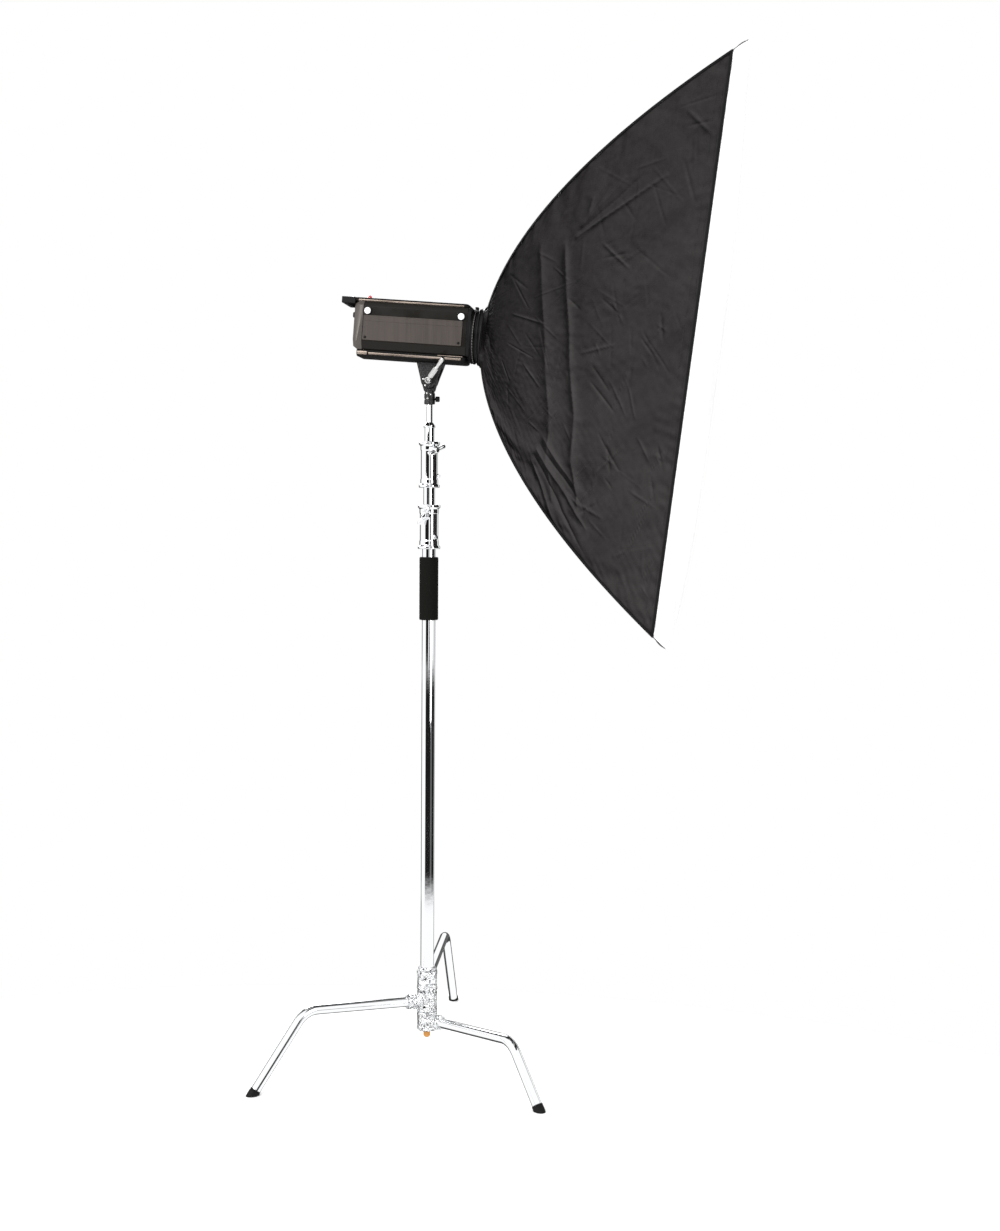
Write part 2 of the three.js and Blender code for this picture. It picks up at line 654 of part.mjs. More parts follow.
function buildControls(head) {
  const back = BODY_REAR - GAP;
  for (const [name, y] of [["power_dial", -26], ["modelling_dial", 26]]) {
    add(head, name, aimed(dial(7, 9), [back, y, AXIS_W + 33], [-1, 0, 0]), BLACK);
  }
  const stop = BUTTON_R + 1.5; // a flange behind the wall keeps the button in
  const buttonProfile = [
    [0, -5],
    [stop, -5],
    [stop, -3 - GAP],
    [BUTTON_R, -3 - GAP],
    [BUTTON_R, 3],
    [BUTTON_R - 1, 4],
    [0, 4],
  ];
  const button = aimed(turned(buttonProfile, SMALL), [BODY_REAR, BUTTON.y, AXIS_W + BUTTON.w], [-1, 0, 0]);
  add(head, "test_button", button, TEAL);
  const dome = turned([[0, 0], [5.5, 0], [5.5, 2], [4.6, 7], [2.5, 10], [0, 11]], SMALL);
  add(head, "slave_sensor", dome.translate([-172, 0, AXIS_W + 77 + GAP]), RED);

  const rocker = alongY([
    [BODY_REAR - 3, AXIS_W - 42],
    [BODY_REAR + 8, AXIS_W - 42],
    [BODY_REAR + 8, AXIS_W - 24],
    [BODY_REAR, AXIS_W - 24],
    [BODY_REAR - 0.5, AXIS_W - 33],
  ], -16, -4);
  add(head, "power_switch", rocker, BLACK);

  const inlet = block([BODY_REAR - 2, BODY_REAR + 18], [14, 42], [AXIS_W - 41.5, AXIS_W - 20]);
  const recess = block([BODY_REAR - 3, BODY_REAR + 15], [17, 39], [AXIS_W - 38.5, AXIS_W - 23]);
  const pins = [-6, 0, 6].map((y) =>
    block([BODY_REAR, BODY_REAR + 16], [27 + y, 29 + y], [AXIS_W - 33, AXIS_W - 29]),
  );
  add(head, "mains_inlet", join(cut(inlet, recess), ...pins), BLACK);
}

function buildInside(head) {
  const blades = [0, 1, 2, 3, 4].map((k) =>
    block([-2, 2], [-1, 1], [8, 30]).rotate([0, 0, 35]).translate([-158, 0, 0]).rotate([72 * k, 0, 0]),
  );
  const hub = aimed(disc(11, 0, 10, SMALL), [-163, 0, 0], [1, 0, 0]);
  add(head, "fan_rotor", join(hub, ...blades).translate([0, 0, AXIS_W + 2]), BLACK);

  const cans = [-26, 26].map((y) => aimed(disc(24, 0, 105, SIDES), [-110, y, AXIS_W - 6], [1, 0, 0]));
  const board = block([-112, 4], [-52, 52], [AXIS_W - 36, AXIS_W - 28]);
  add(head, "capacitor_bank", join(...cans, board), SILVER);
}

const FLASH_RING = 34;

/** A round tube bent round X, from -halfAngle to +halfAngle about its top. */
function arcTube(ringRadius, tubeRadius, halfAngle) {
  const steps = 18;
  const points = Array.from({ length: steps + 1 }, (_, i) => {
    const angle = halfAngle * DEG * ((2 * i) / steps - 1);
    return new THREE.Vector3(0, ringRadius * Math.sin(angle), ringRadius * Math.cos(angle));
  });
  const extrudePath = new THREE.CatmullRomCurve3(points);
  return solid(new THREE.ExtrudeGeometry(circleShape(tubeRadius, 8), { steps, extrudePath }));
}

function buildFront(head) {
  const flange = alongX(scaledOutline(1, 0.5), BODY_FRONT + GAP, 104);
  const barrel = aimed(disc(69, 103, 114, SIDES), [0, 0, AXIS_W], [1, 0, 0]);
  const hole = aimed(disc(52, 80, 120, SIDES), [0, 0, AXIS_W], [1, 0, 0]);
  add(head, "front_bezel", cut(join(flange, barrel), hole), BLACK);

  const latch = block([105, 113], [-8, 8], [AXIS_W + 69 + GAP, AXIS_W + 75]);
  add(head, "release_latch", latch, BLACK);

  const base = join(disc(49, 88, 94, SIDES), disc(16, 84, 102, SMALL));
  add(head, "lamp_base", aimed(base, [0, 0, AXIS_W], [1, 0, 0]), CREAM);

  const gapAngle = 18; // half the opening of the ring-shaped tube, at its foot
  const posts = [180 - gapAngle, 180 + gapAngle].map((angle) => {
    const place = [94 + GAP, FLASH_RING * Math.sin(angle * DEG), FLASH_RING * Math.cos(angle * DEG)];
    return aimed(disc(3.5, 0, 18, 8), place, [1, 0, 0]);
  });
  const ring = arcTube(FLASH_RING, 4, 180 - gapAngle).translate([112, 0, 0]);
  add(head, "flash_tube", join(ring, ...posts).translate([0, 0, AXIS_W]), GLASS);

  const bulb = turned([[0, 0], [9, 0], [9, 14], [13, 24], [14, 36], [11, 46], [6, 52], [0, 54]], SMALL);
  add(head, "modelling_bulb", aimed(bulb, [102 + GAP, 0, AXIS_W], [1, 0, 0]), GLASS);
}

// ---------------------------------------------------------------- speedring

function buildSpeedring(head) {
  const adapter = turned([
    [47, 106],
    [50, 106],
    [50, 114 + GAP],
    [64, 114 + GAP],
    [64, 119],
    [50, 119],
    [50, 139],
    [47, 139],
    [47, 106],
  ], SIDES);
  add(head, "bayonet_adapter", aimed(adapter, [0, 0, AXIS_W], [1, 0, 0]), BLACK);

  const ring = turned([
    [BORE_R, 119 + GAP],
    [RING_R - 2, 119 + GAP],
    [RING_R, 121.5],
    [RING_R, 135],
    [RING_R - 2, 137.5],
    [BORE_R, 137.5],
    [BORE_R, 119 + GAP],
  ], SIDES);
  const tapped = aimed(disc(2.5 + GAP, 55, 80, SMALL), [RING_X - 2.5, 0, 0], [0, 1, -1]);
  add(head, "speedring", cut(aimed(ring, [0, 0, 0], [1, 0, 0]), tapped).translate([0, 0, AXIS_W]), BLACK);

  const screw = join(disc(2.5, 57, 76, SMALL), disc(7, RING_R + 1, RING_R + 13, SMALL));
  const placed = aimed(screw, [RING_X - 2.5, 0, AXIS_W], [0, 1, -1]);
  add(head, "ring_lock_screw", placed, BLACK);
}

// ---------------------------------------------------------------- softbox

/** The box's corner line at a share s of the way from the neck to the rim. */
function corner(s) {
  const spread = FLARE_START + (1 - FLARE_START) * s;
  const floor = FLARE_START ** FLARE;
  const share = (spread ** FLARE - floor) / (1 - floor);
  return {
    x: BOX_START + (BOX_DEPTH - BOX_START) * share,
    y: NECK.y + (RIM.y - NECK.y) * s,
    z: NECK.z + (RIM.z - NECK.z) * s,
  };
}

/** The outline along X of a panel, moved inwards by its thickness. */
function insetProfile(s, height, depth) {
  const step = 0.002;
  const here = corner(s);
  const before = corner(Math.max(s - step, 0));
  const after = corner(Math.min(s + step, 1));
  const along = new THREE.Vector2(after.x - before.x, after[height] - before[height]).normalize();
  return [here.x + along.y * depth, here[height] - along.x * depth];
}

const PANEL_STEPS = 10;

function panel(side, height, width) {
  const rings = [];
  for (let k = 0; k <= PANEL_STEPS; k += 1) {
    const s = (BAND_START * k) / PANEL_STEPS;
    const half = corner(s)[width] - CORNER_NOTCH;
    const outer = insetProfile(s, height, 0);
    const inner = insetProfile(s, height, FABRIC);
    const at = ([x, h], across) => (height === "z" ? [x, across, side * h] : [x, side * h, across]);
    rings.push([at(outer, -half), at(outer, half), at(inner, half), at(inner, -half)]);
  }
  return lofted(rings);
}

/** A sprung rod from the ring to one corner of the rim. */
function cornerRod(sideY, sideZ) {
  const steps = 12;
  const sides = 8;
  const line = [];
  for (let k = 0; k <= steps; k += 1) {
    const s = (ROD_END * k) / steps;
    const at = corner(s);
    const inset = 6 + 12 * (1 - s) ** 3;
    line.push(new THREE.Vector3(at.x, sideY * (at.y - inset), sideZ * (at.z - inset - 3 * (1 - s))));
  }
  const curve = new THREE.CatmullRomCurve3(line);
  return solid(new THREE.ExtrudeGeometry(circleShape(ROD_R, sides), { steps, extrudePath: curve }));
}

/** A tray: straight-sided from one rectangle to the next, with a bulging front. */
function tray(sections, bulge, columns, rows) {
  const corners = [];
  const quad = (a, b, c, d) => corners.push(...a, ...b, ...c, ...a, ...c, ...d);
  const grid = ({ x, y, z }, swell) => (i, j) => {
    const u = (2 * i) / columns - 1;
    const v = (2 * j) / rows - 1;
    return [x + swell * (1 - u ** 4) * (1 - v ** 4), u * y, v * z];
  };
  for (let k = 0; k + 1 < sections.length; k += 1) {
    const near = grid(sections[k], 0);
    const far = grid(sections[k + 1], 0);
    for (let i = 0; i < columns; i += 1) {
      quad(near(i, 0), near(i + 1, 0), far(i + 1, 0), far(i, 0));
      quad(near(i + 1, rows), near(i, rows), far(i, rows), far(i + 1, rows));
    }
    for (let j = 0; j < rows; j += 1) {
      quad(near(0, j + 1), near(0, j), far(0, j), far(0, j + 1));
      quad(near(columns, j), near(columns, j + 1), far(columns, j + 1), far(columns, j));
    }
  }
  const back = grid(sections[0], 0);
  const front = grid(sections[sections.length - 1], bulge);
  for (let i = 0; i < columns; i += 1) {
    for (let j = 0; j < rows; j += 1) {
      quad(back(i, j), back(i, j + 1), back(i + 1, j + 1), back(i + 1, j));
      quad(front(i, j), front(i + 1, j), front(i + 1, j + 1), front(i, j + 1));
    }
  }
  const geometry = new THREE.BufferGeometry();
  geometry.setAttribute("position", new THREE.Float32BufferAttribute(corners, 3));
  return solid(geometry);
}

function buildDiffuser(box) {
  const start = corner(BAND_START + 0.002);
  const rim = corner(1);
  const lessen = ({ x, y, z }, dx, d) => ({ x: x + dx, y: y - d, z: z - d });
  const outer = tray([start, rim], FRONT_BULGE, 8, 14);
  const back = lessen(start, -3, 3.5);
  const inner = tray([back, lessen(rim, -3, 3)], FRONT_BULGE, 8, 14);
  add(box, "front_diffuser", cut(outer, inner), FABRIC_WHITE);
}

function buildSoftbox(box) {
  for (const [name, side, height, width] of [
    ["top", 1, "z", "y"],
    ["bottom", -1, "z", "y"],
    ["left", 1, "y", "z"],
    ["right", -1, "y", "z"],
  ]) {
    add(box, `shell_${name}`, panel(side, height, width), FABRIC_BLACK);
  }
  for (const [name, y, z] of [
    ["top_left", 1, 1],
    ["top_right", -1, 1],
    ["bottom_left", 1, -1],
    ["bottom_right", -1, -1],
  ]) {
    add(box, `rod_${name}`, cornerRod(y, z), SILVER);
  }
  buildDiffuser(box);
  const baffle = corner(BAFFLE_AT);
  const clear = 30; // between the baffle's edge and the walls
  const [y, z] = [baffle.y - clear, baffle.z - clear];
  add(box, "inner_baffle", block([baffle.x, baffle.x + 1.5], [-y, y], [-z, z]), FABRIC_WHITE);
}

// ---------------------------------------------------------------- assembly

const softbox = new THREE.Group();
const stand = new THREE.Group();
const head = new THREE.Group();
const knuckle = new THREE.Group();
const box = new THREE.Group();
softbox.add(stand, head, knuckle);
head.add(box);

buildHub(stand);
buildColumn(stand);

knuckle.position.set(0, 0, PIVOT_Z);
buildKnuckle(knuckle);

head.position.set(0, 0, PIVOT_Z);
head.rotation.y = HEAD_PITCH;
buildBracket(head);
buildBody(head);
buildControls(head);
buildInside(head);
buildFront(head);
buildSpeedring(head);

box.position.set(RING_X, 0, AXIS_W);
box.rotation.y = DROOP;
buildSoftbox(box);

softbox.updateMatrixWorld(true);
const bounds = new THREE.Box3().setFromObject(softbox, true);
const middle = bounds.getCenter(new THREE.Vector3());
softbox.position.set(-middle.x, -middle.y, -bounds.min.z);

export default softbox;
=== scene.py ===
"""The looks of a studio softbox: a chrome stand, a flash head on a tilting bracket, and a tall
rectangular softbox with a white front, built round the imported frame. Shapes are worked out in
millimetres in three local frames (stand, head and box) and placed in the row frame in metres."""

import json
import math
import random

import bmesh
import bpy
import numpy as np
from mathutils import Matrix, Vector


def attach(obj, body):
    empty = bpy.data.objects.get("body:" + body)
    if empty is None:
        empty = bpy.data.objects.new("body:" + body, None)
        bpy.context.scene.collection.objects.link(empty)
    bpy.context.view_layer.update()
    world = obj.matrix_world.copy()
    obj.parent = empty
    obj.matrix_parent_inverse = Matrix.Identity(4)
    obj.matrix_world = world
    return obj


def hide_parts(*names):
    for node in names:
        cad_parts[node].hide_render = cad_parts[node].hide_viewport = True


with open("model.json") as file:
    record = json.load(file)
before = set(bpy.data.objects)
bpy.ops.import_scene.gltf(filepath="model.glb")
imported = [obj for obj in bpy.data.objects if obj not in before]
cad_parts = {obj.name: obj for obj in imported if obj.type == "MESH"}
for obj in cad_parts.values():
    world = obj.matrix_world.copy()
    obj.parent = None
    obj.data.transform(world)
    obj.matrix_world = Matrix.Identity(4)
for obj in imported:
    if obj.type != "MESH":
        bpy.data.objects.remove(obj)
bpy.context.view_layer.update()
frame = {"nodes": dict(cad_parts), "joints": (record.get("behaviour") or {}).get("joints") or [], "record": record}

# ---------------------------------------------------------------- frames and driving dimensions

MM = 0.001
joints = {joint["name"]: joint for joint in frame["joints"]}
PIVOT = Vector(joints["head_tilt"]["pos_m"])
LAMP_POINT = Vector(joints["softbox_rotation"]["pos_m"])
FORWARD = Vector(joints["softbox_rotation"]["axis"]).normalized()
ACROSS = Vector((0, 1, 0))
UPWARD = FORWARD.cross(ACROSS)


def local_frame(origin, forward, across, upward):
    """A matrix that takes millimetres in a local frame to metres in the row frame."""
    turn = Matrix((forward, across, upward)).transposed().to_4x4()
    return Matrix.Translation(origin) @ turn @ Matrix.Scale(MM, 4)


STAND = local_frame(Vector((PIVOT.x, PIVOT.y, 0)), Vector((1, 0, 0)), ACROSS, Vector((0, 0, 1)))
HEAD = local_frame(PIVOT, FORWARD, ACROSS, UPWARD)
AXIS_W = (LAMP_POINT - PIVOT).dot(UPWARD) / MM  # the lamp's axis above the pivot
RING_X = 131
DROOP = math.radians(2.8)
BOX = HEAD @ Matrix.Translation((RING_X, 0, AXIS_W)) @ Matrix.Rotation(DROOP, 4, "Y")

# the softbox's corner line, as in the frame
BOX_START = 12
BOX_DEPTH = 574
NECK_Y, NECK_Z = 62, 68
RIM_Y, RIM_Z = 350, 700
FLARE = 1.75
FLARE_START = 0.1
BAND_START = 0.96
FRONT_BULGE = 26


def corner(s):
    """The corner line at a share s of the way from the neck to the rim, as (x, y, z)."""
    spread = FLARE_START + (1 - FLARE_START) * s
    floor = FLARE_START**FLARE
    share = (spread**FLARE - floor) / (1 - floor)
    x = BOX_START + (BOX_DEPTH - BOX_START) * share
    return Vector((x, NECK_Y + (RIM_Y - NECK_Y) * s, NECK_Z + (RIM_Z - NECK_Z) * s))


# ---------------------------------------------------------------- camera, world, light and floor

CAMERA_OUT = 4.0683  # in front of the column, in metres
CAMERA_RIGHT = 0.712
CAMERA_HEIGHT = 1.415
CAMERA_TURN = 7.36  # degrees to the left
CAMERA_PITCH = -3.32
CAMERA_ROLL = 0.40
CAMERA_LENS = 46.6


def make_camera():
    data = bpy.data.cameras.new("camera")
    data.lens = CAMERA_LENS
    data.sensor_width = 36
    data.clip_end = 100
    camera = bpy.data.objects.new("camera", data)
    bpy.context.collection.objects.link(camera)
    place = Vector((PIVOT.x + CAMERA_RIGHT, PIVOT.y - CAMERA_OUT, CAMERA_HEIGHT))
    turn = Matrix.Rotation(math.radians(CAMERA_TURN), 4, "Z")
    pitch = Matrix.Rotation(math.radians(90 + CAMERA_PITCH), 4, "X")
    roll = Matrix.Rotation(math.radians(CAMERA_ROLL), 4, "Z")
    camera.matrix_world = Matrix.Translation(place) @ turn @ pitch @ roll
    bpy.context.scene.camera = camera


WORLD_WHITE = 1.0
ROOM_BRIGHT = 1.15
ROOM_DARK = 0.012
ROOM_SOFT = 0.95  # what lights the matt surfaces, the same from all sides
# bands seen in reflections: degrees counterclockwise from +X, and how bright from 0 to 1
WALLS = [(-180, 1), (-132, 1), (-126, 0), (-85, 0), (-81, 0.9), (-68, 0.9), (-63, 0), (-47, 0), (-42, 1),
         (14, 1), (22, 0.4), (40, 0.4), (46, 1), (56, 1), (64, 0.1), (150, 0.1), (158, 1), (180, 1)]
BEHIND = [(-180, 1), (10, 1), (22, 0), (162, 0), (172, 1), (180, 1)]
CEILING = [(-180, 1), (-80, 1), (-66, 0), (168, 0), (176, 1), (180, 1)]
EDGES = [(-180, 1), (54, 1), (62, 0.05), (152, 0.05), (160, 1), (180, 1)]
DEEP = [(-180, 1), (-130, 1), (-124, 0), (-42, 0), (-36, 0.12), (-14, 0.12), (-8, 0), (44, 0), (50, 0.9),
        (56, 0.9), (64, 0.1), (150, 0.1), (158, 1), (180, 1)]
# sines of the heights where one kind of band gives way to the next
LEVELS = [
    (-1.0, "bright"), (-0.94, "bright"), (-0.90, "edges"), (-0.232, "edges"),
    (-0.224, "deep"), (-0.10, "deep"), (-0.085, "walls"), (0.26, "walls"),
    (0.29, "bright"), (0.45, "bright"), (0.48, "behind"), (0.80, "behind"),
    (0.82, "ceiling"), (0.955, "ceiling"), (0.965, "bright"), (1.0, "bright"),
]
BANDS = {"walls": WALLS, "behind": BEHIND, "ceiling": CEILING, "edges": EDGES, "deep": DEEP}


def make_world():
    """White to the eye; in reflections a white room with dark bands, which streak the chrome."""
    world = bpy.data.worlds.new("studio")
    bpy.context.scene.world = world
    world.use_nodes = True
    tree = world.node_tree
    new, link = tree.nodes.new, tree.links.new
    split = new("ShaderNodeSeparateXYZ")
    link(new("ShaderNodeTexCoord").outputs["Generated"], split.inputs[0])

    def ramp(source, stops):
        node = new("ShaderNodeValToRGB")
        elements = node.color_ramp.elements
        for place, level in stops:
            stop = elements.new(place)
            stop.color = (level, level, level, 1)
        elements.remove(elements[0])
        elements.remove(elements[-1])
        link(source, node.inputs[0])
        return node.outputs["Color"]

    def ranged(source, low, high):
        node = new("ShaderNodeMapRange")
        node.inputs["From Min"].default_value = low
        node.inputs["From Max"].default_value = high
        link(source, node.inputs["Value"])
        return node

    azimuth = new("ShaderNodeMath")
    azimuth.operation = "ARCTAN2"
    link(split.outputs["Y"], azimuth.inputs[0])
    link(split.outputs["X"], azimuth.inputs[1])
    share = ranged(azimuth.outputs[0], -math.pi, math.pi).outputs[0]
    height = ranged(split.outputs["Z"], -1, 1).outputs[0]
    level = None
    for kind, bands in BANDS.items():
        around = ramp(share, [((degrees + 180) / 360, bright) for degrees, bright in bands])
        where = ramp(height, [((sine + 1) / 2, float(name == kind)) for sine, name in LEVELS])
        mix = new("ShaderNodeMix")
        link(where, mix.inputs["Factor"])
        mix.inputs[2].default_value = 1.0
        if level:
            link(level, mix.inputs[2])
        link(around, mix.inputs[3])
        level = mix.outputs[0]
    strength = new("ShaderNodeMapRange")
    strength.inputs["To Min"].default_value = ROOM_DARK
    strength.inputs["To Max"].default_value = ROOM_BRIGHT
    link(level, strength.inputs["Value"])

    room = tree.nodes["Background"]
    room.inputs["Color"].default_value = (1, 1, 1, 1)
    path = new("ShaderNodeLightPath")
    shown = new("ShaderNodeMix")
    link(path.outputs["Is Glossy Ray"], shown.inputs["Factor"])
    shown.inputs[2].default_value = ROOM_SOFT
    link(strength.outputs[0], shown.inputs[3])
    link(shown.outputs[0], room.inputs["Strength"])
    seen = new("ShaderNodeBackground")
    seen.inputs["Color"].default_value = (1, 1, 1, 1)
    seen.inputs["Strength"].default_value = WORLD_WHITE
    mix = new("ShaderNodeMixShader")
    link(path.outputs["Is Camera Ray"], mix.inputs[0])
    link(room.outputs[0], mix.inputs[1])
    link(seen.outputs[0], mix.inputs[2])
    link(mix.outputs[0], tree.nodes["World Output"].inputs["Surface"])
    bpy.context.scene.view_settings.view_transform = "Standard"


def area_light(name, place, target, size, power):
    data = bpy.data.lights.new(name, "AREA")
    data.shape = "RECTANGLE"
    data.size, data.size_y = size
    data.energy = power
    light = bpy.data.objects.new(name, data)
    bpy.context.collection.objects.link(light)
    light.location = place
    light.rotation_euler = (Vector(target) - Vector(place)).to_track_quat("-Z", "Y").to_euler()


LIGHTS = {
    # name: place from the column's axis, size and power
    "key_light": ((-2.2, -3.0, 2.9), (1.6, 2.2), 110),
    "fill_light": ((3.0, -2.4, 1.6), (1.2, 2.4), 45),
    "back_light": ((-1.2, 2.8, 3.0), (2.4, 1.6), 70),
}


def make_lights():
    middle = (PIVOT.x + 0.2, PIVOT.y, 1.3)
    for name, ((x, y, z), size, power) in LIGHTS.items():
        area_light(name, (PIVOT.x + x, PIVOT.y + y, z), middle, size, power)


FLOOR_MIDDLE = (PIVOT.x, PIVOT.y - 0.52)
FLOOR_REACH = (2.0, 1.16)  # half its width and depth
FLOOR_SIDES = 96


def make_floor():
    mesh = bpy.data.meshes.new("floor")
    (x, y), (half_wide, half_deep) = FLOOR_MIDDLE, FLOOR_REACH
    points = [(x + half_wide * u, y + half_deep * v, 0) for u, v in circle(1, FLOOR_SIDES)]
    mesh.from_pydata(points, [], [tuple(range(FLOOR_SIDES))])
    floor = bpy.data.objects.new("floor", mesh)
    bpy.context.collection.objects.link(floor)
    paint = Paint("floor_white", (0.92, 0.92, 0.92), 0.7)
    mesh.materials.append(paint.material)
    floor.visible_glossy = False


# ---------------------------------------------------------------- materials


class Paint:
    """A node material round one Principled shader, with the object's own coordinates at hand."""

    def __init__(self, name, color, roughness, metallic=0.0, **sockets):
        self.material = bpy.data.materials.new(name)
        self.material.use_nodes = True
        self.tree = self.material.node_tree
        self.shader = self.tree.nodes["Principled BSDF"]
        self.shader.inputs["Base Color"].default_value = (*color, 1)
        self.shader.inputs["Roughness"].default_value = roughness
        self.shader.inputs["Metallic"].default_value = metallic
        for name_, value in sockets.items():
            self.shader.inputs[name_.replace("_", " ")].default_value = value
        self.where = self.add("ShaderNodeTexCoord").outputs["Object"]

    def add(self, kind, links=None, **settings):
        """A node; settings are its properties or, where it has none of that name, its inputs."""
        node = self.tree.nodes.new(kind)
        for key, value in settings.items():
            if hasattr(node, key):
                setattr(node, key, value)
            else:
                node.inputs[key.replace("_", " ").title()].default_value = value
        for key, source in (links or {}).items():
            self.tree.links.new(source, node.inputs[key])
        return node

    def stretched(self, scale):
        """The object's coordinates, stretched by a scale for each axis."""
        mapping = self.add("ShaderNodeMapping", {"Vector": self.where})
        mapping.inputs["Scale"].default_value = scale
        return mapping.outputs[0]

    def noise(self, scale, detail=3, where=None, roughness=0.5):
        links = {"Vector": where or self.where}
        node = self.add("ShaderNodeTexNoise", links, Scale=scale, Detail=detail, Roughness=roughness)
        return node.outputs[0]

    def cells(self, scale):
        return self.add("ShaderNodeTexVoronoi", {"Vector": self.where}, Scale=scale).outputs["Distance"]

    def ranged(self, value, low, high, from_low=0.0, from_high=1.0):
        node = self.add("ShaderNodeMapRange", {"Value": value})
        node.inputs["From Min"].default_value = from_low
        node.inputs["From Max"].default_value = from_high
        node.inputs["To Min"].default_value = low
        node.inputs["To Max"].default_value = high
        return node.outputs[0]

    def maths(self, operation, a, b):
        node = self.add("ShaderNodeMath", operation=operation)
        for k, value in enumerate((a, b)):
            if isinstance(value, (int, float)):
                node.inputs[k].default_value = value
            else:
                self.tree.links.new(value, node.inputs[k])
        return node.outputs[0]

    def blend_color(self, factor, first, second):
        node = self.add("ShaderNodeMix", data_type="RGBA")
        self.tree.links.new(factor, node.inputs["Factor"])
        colors = [socket for socket in node.inputs if socket.type == "RGBA"]
        colors[0].default_value = (*first, 1)
        colors[1].default_value = (*second, 1)
        result = [socket for socket in node.outputs if socket.type == "RGBA"][0]
        self.tree.links.new(result, self.shader.inputs["Base Color"])

    def rough(self, value):
        self.tree.links.new(value, self.shader.inputs["Roughness"])

    def bump(self, height, distance, strength=1.0):
        node = self.add("ShaderNodeBump", {"Height": height})
        node.inputs["Distance"].default_value = distance
        node.inputs["Strength"].default_value = strength
        self.tree.links.new(node.outputs[0], self.shader.inputs["Normal"])


# ---------------------------------------------------------------- shapes


class Shape:
    """Points and faces in millimetres."""

    def __init__(self, points, faces):
        self.points = [Vector(p) for p in points]
        self.faces = [tuple(face) for face in faces]

    def __add__(self, other):
        return merged([self, other])

    def moved(self, matrix):
        turned_over = matrix.determinant() < 0
        faces = [face[::-1] if turned_over else face for face in self.faces]
        return Shape([matrix @ p for p in self.points], faces)


def merged(shapes):
    """Many shapes as one."""
    points, faces = [], []
    for shape in shapes:
        shift = len(points)
        points += shape.points
        faces += [tuple(i + shift for i in face) for face in shape.faces]
    return Shape(points, faces)


def aim(place, direction, spin=0.0):
    """A matrix that turns Z to a direction, at a place."""
    turn = Vector(direction).to_track_quat("Z", "Y").to_matrix().to_4x4()
    return Matrix.Translation(place) @ turn @ Matrix.Rotation(spin, 4, "Z")


def spun(degrees, axis="Z"):
    return Matrix.Rotation(math.radians(degrees), 4, axis)


def turned(profile, sides=48):
    """A solid of revolution about Z from [radius, height] pairs; ends on the axis are closed."""
    points, rings = [], []
    for radius, height in profile:
        if radius < 1e-6:
            rings.append([len(points)])
            points.append((0, 0, height))
            continue
        rings.append(list(range(len(points), len(points) + sides)))
        for k in range(sides):
            angle = 2 * math.pi * k / sides
            points.append((radius * math.cos(angle), radius * math.sin(angle), height))
    faces = []
    for low, high in zip(rings, rings[1:]):
        for k in range(sides):
            n = (k + 1) % sides
            if len(low) == 1 and len(high) == 1:
                break
            if len(low) == 1:
                faces.append((low[0], high[n], high[k]))
            elif len(high) == 1:
                faces.append((low[k], low[n], high[0]))
            else:
                faces.append((low[k], low[n], high[n], high[k]))
    return Shape(points, faces)


def rounded(outline, radius, steps=3, ends=False):
    """An outline of (u, v) pairs with its corners rounded; ends says whether it closes on itself."""
    result = []
    count = len(outline)
    for k, (u, v) in enumerate(outline):
        here = Vector((u, v))
        if not ends and k in (0, count - 1):
            result.append((u, v))
            continue
        before = Vector(outline[k - 1]) - here
        after = Vector(outline[(k + 1) % count]) - here
        reach = min(radius, before.length * 0.45, after.length * 0.45)
        start = here + before.normalized() * reach
        stop = here + after.normalized() * reach
        for i in range(steps + 1):
            t = i / steps
            mid = start.lerp(here, t).lerp(here.lerp(stop, t), t)
            result.append((mid.x, mid.y))
    return result


def rectangle(u0, v0, u1, v1, radius, steps=3):
    """A rectangle from corner to corner with its corners rounded."""
    return rounded([(u0, v0), (u1, v0), (u1, v1), (u0, v1)], radius, steps, ends=True)


def lathe(profile, radius=0.8, sides=48):
    """A turned solid whose profile's corners are rounded."""
    return turned(rounded(profile, radius), sides)


def ring(profile, radius=0.8, sides=48):
    """A turned solid from a profile that closes on itself, clear of the axis."""
    outline = rounded(profile, radius, ends=True)
    return turned([*outline, outline[0]], sides)


def loft(rings, closed=False):
    """A skin through rings of points in the same order, with its ends capped unless it closes."""
    size = len(rings[0])
    points = [p for one in rings for p in one]
    faces = []
    count = len(rings)
    for k in range(count if closed else count - 1):
        low, high = k * size, ((k + 1) % count) * size
        for i in range(size):
            j = (i + 1) % size
            faces.append((low + i, low + j, high + j, high + i))
    if not closed:
        faces.append(tuple(reversed(range(size))))
        faces.append(tuple(range((count - 1) * size, count * size)))
    return Shape(points, faces)


def circle(radius, sides=16):
    turns = [2 * math.pi * k / sides for k in range(sides)]
    return [(radius * math.cos(a), radius * math.sin(a)) for a in turns]


def heading(path, k, closed):
    """The direction of a path at its point number k."""
    before = path[k - 1] if k or closed else path[k]
    after = path[(k + 1) % len(path)] if k + 1 < len(path) or closed else path[k]
    return (after - before).normalized()


def tube(path, radius, sides=16, closed=False):
    """A round bar carried along a path without twisting."""
    rings = []
    side = None
    for k, place in enumerate(path):
        along = heading(path, k, closed)
        if side is None:
            side = along.cross(Vector((0, 0, 1)))
            if side.length < 1e-4:
                side = along.cross(Vector((1, 0, 0)))
        side = (side - along * side.dot(along)).normalized()
        top = side.cross(along)
        rings.append([place + side * u + top * v for u, v in circle(radius, sides)])
    return loft(rings, closed)


def prism(outline, low, high, axis="Z"):
    """An outline drawn along an axis: (x, y) along Z, (y, z) along X or (x, z) along Y."""
    place = {
        "Z": lambda u, v, w: (u, v, w),
        "X": lambda u, v, w: (w, u, v),
        "Y": lambda u, v, w: (u, w, v),
    }[axis]
    return loft([[place(u, v, w) for u, v in outline] for w in (low, high)])


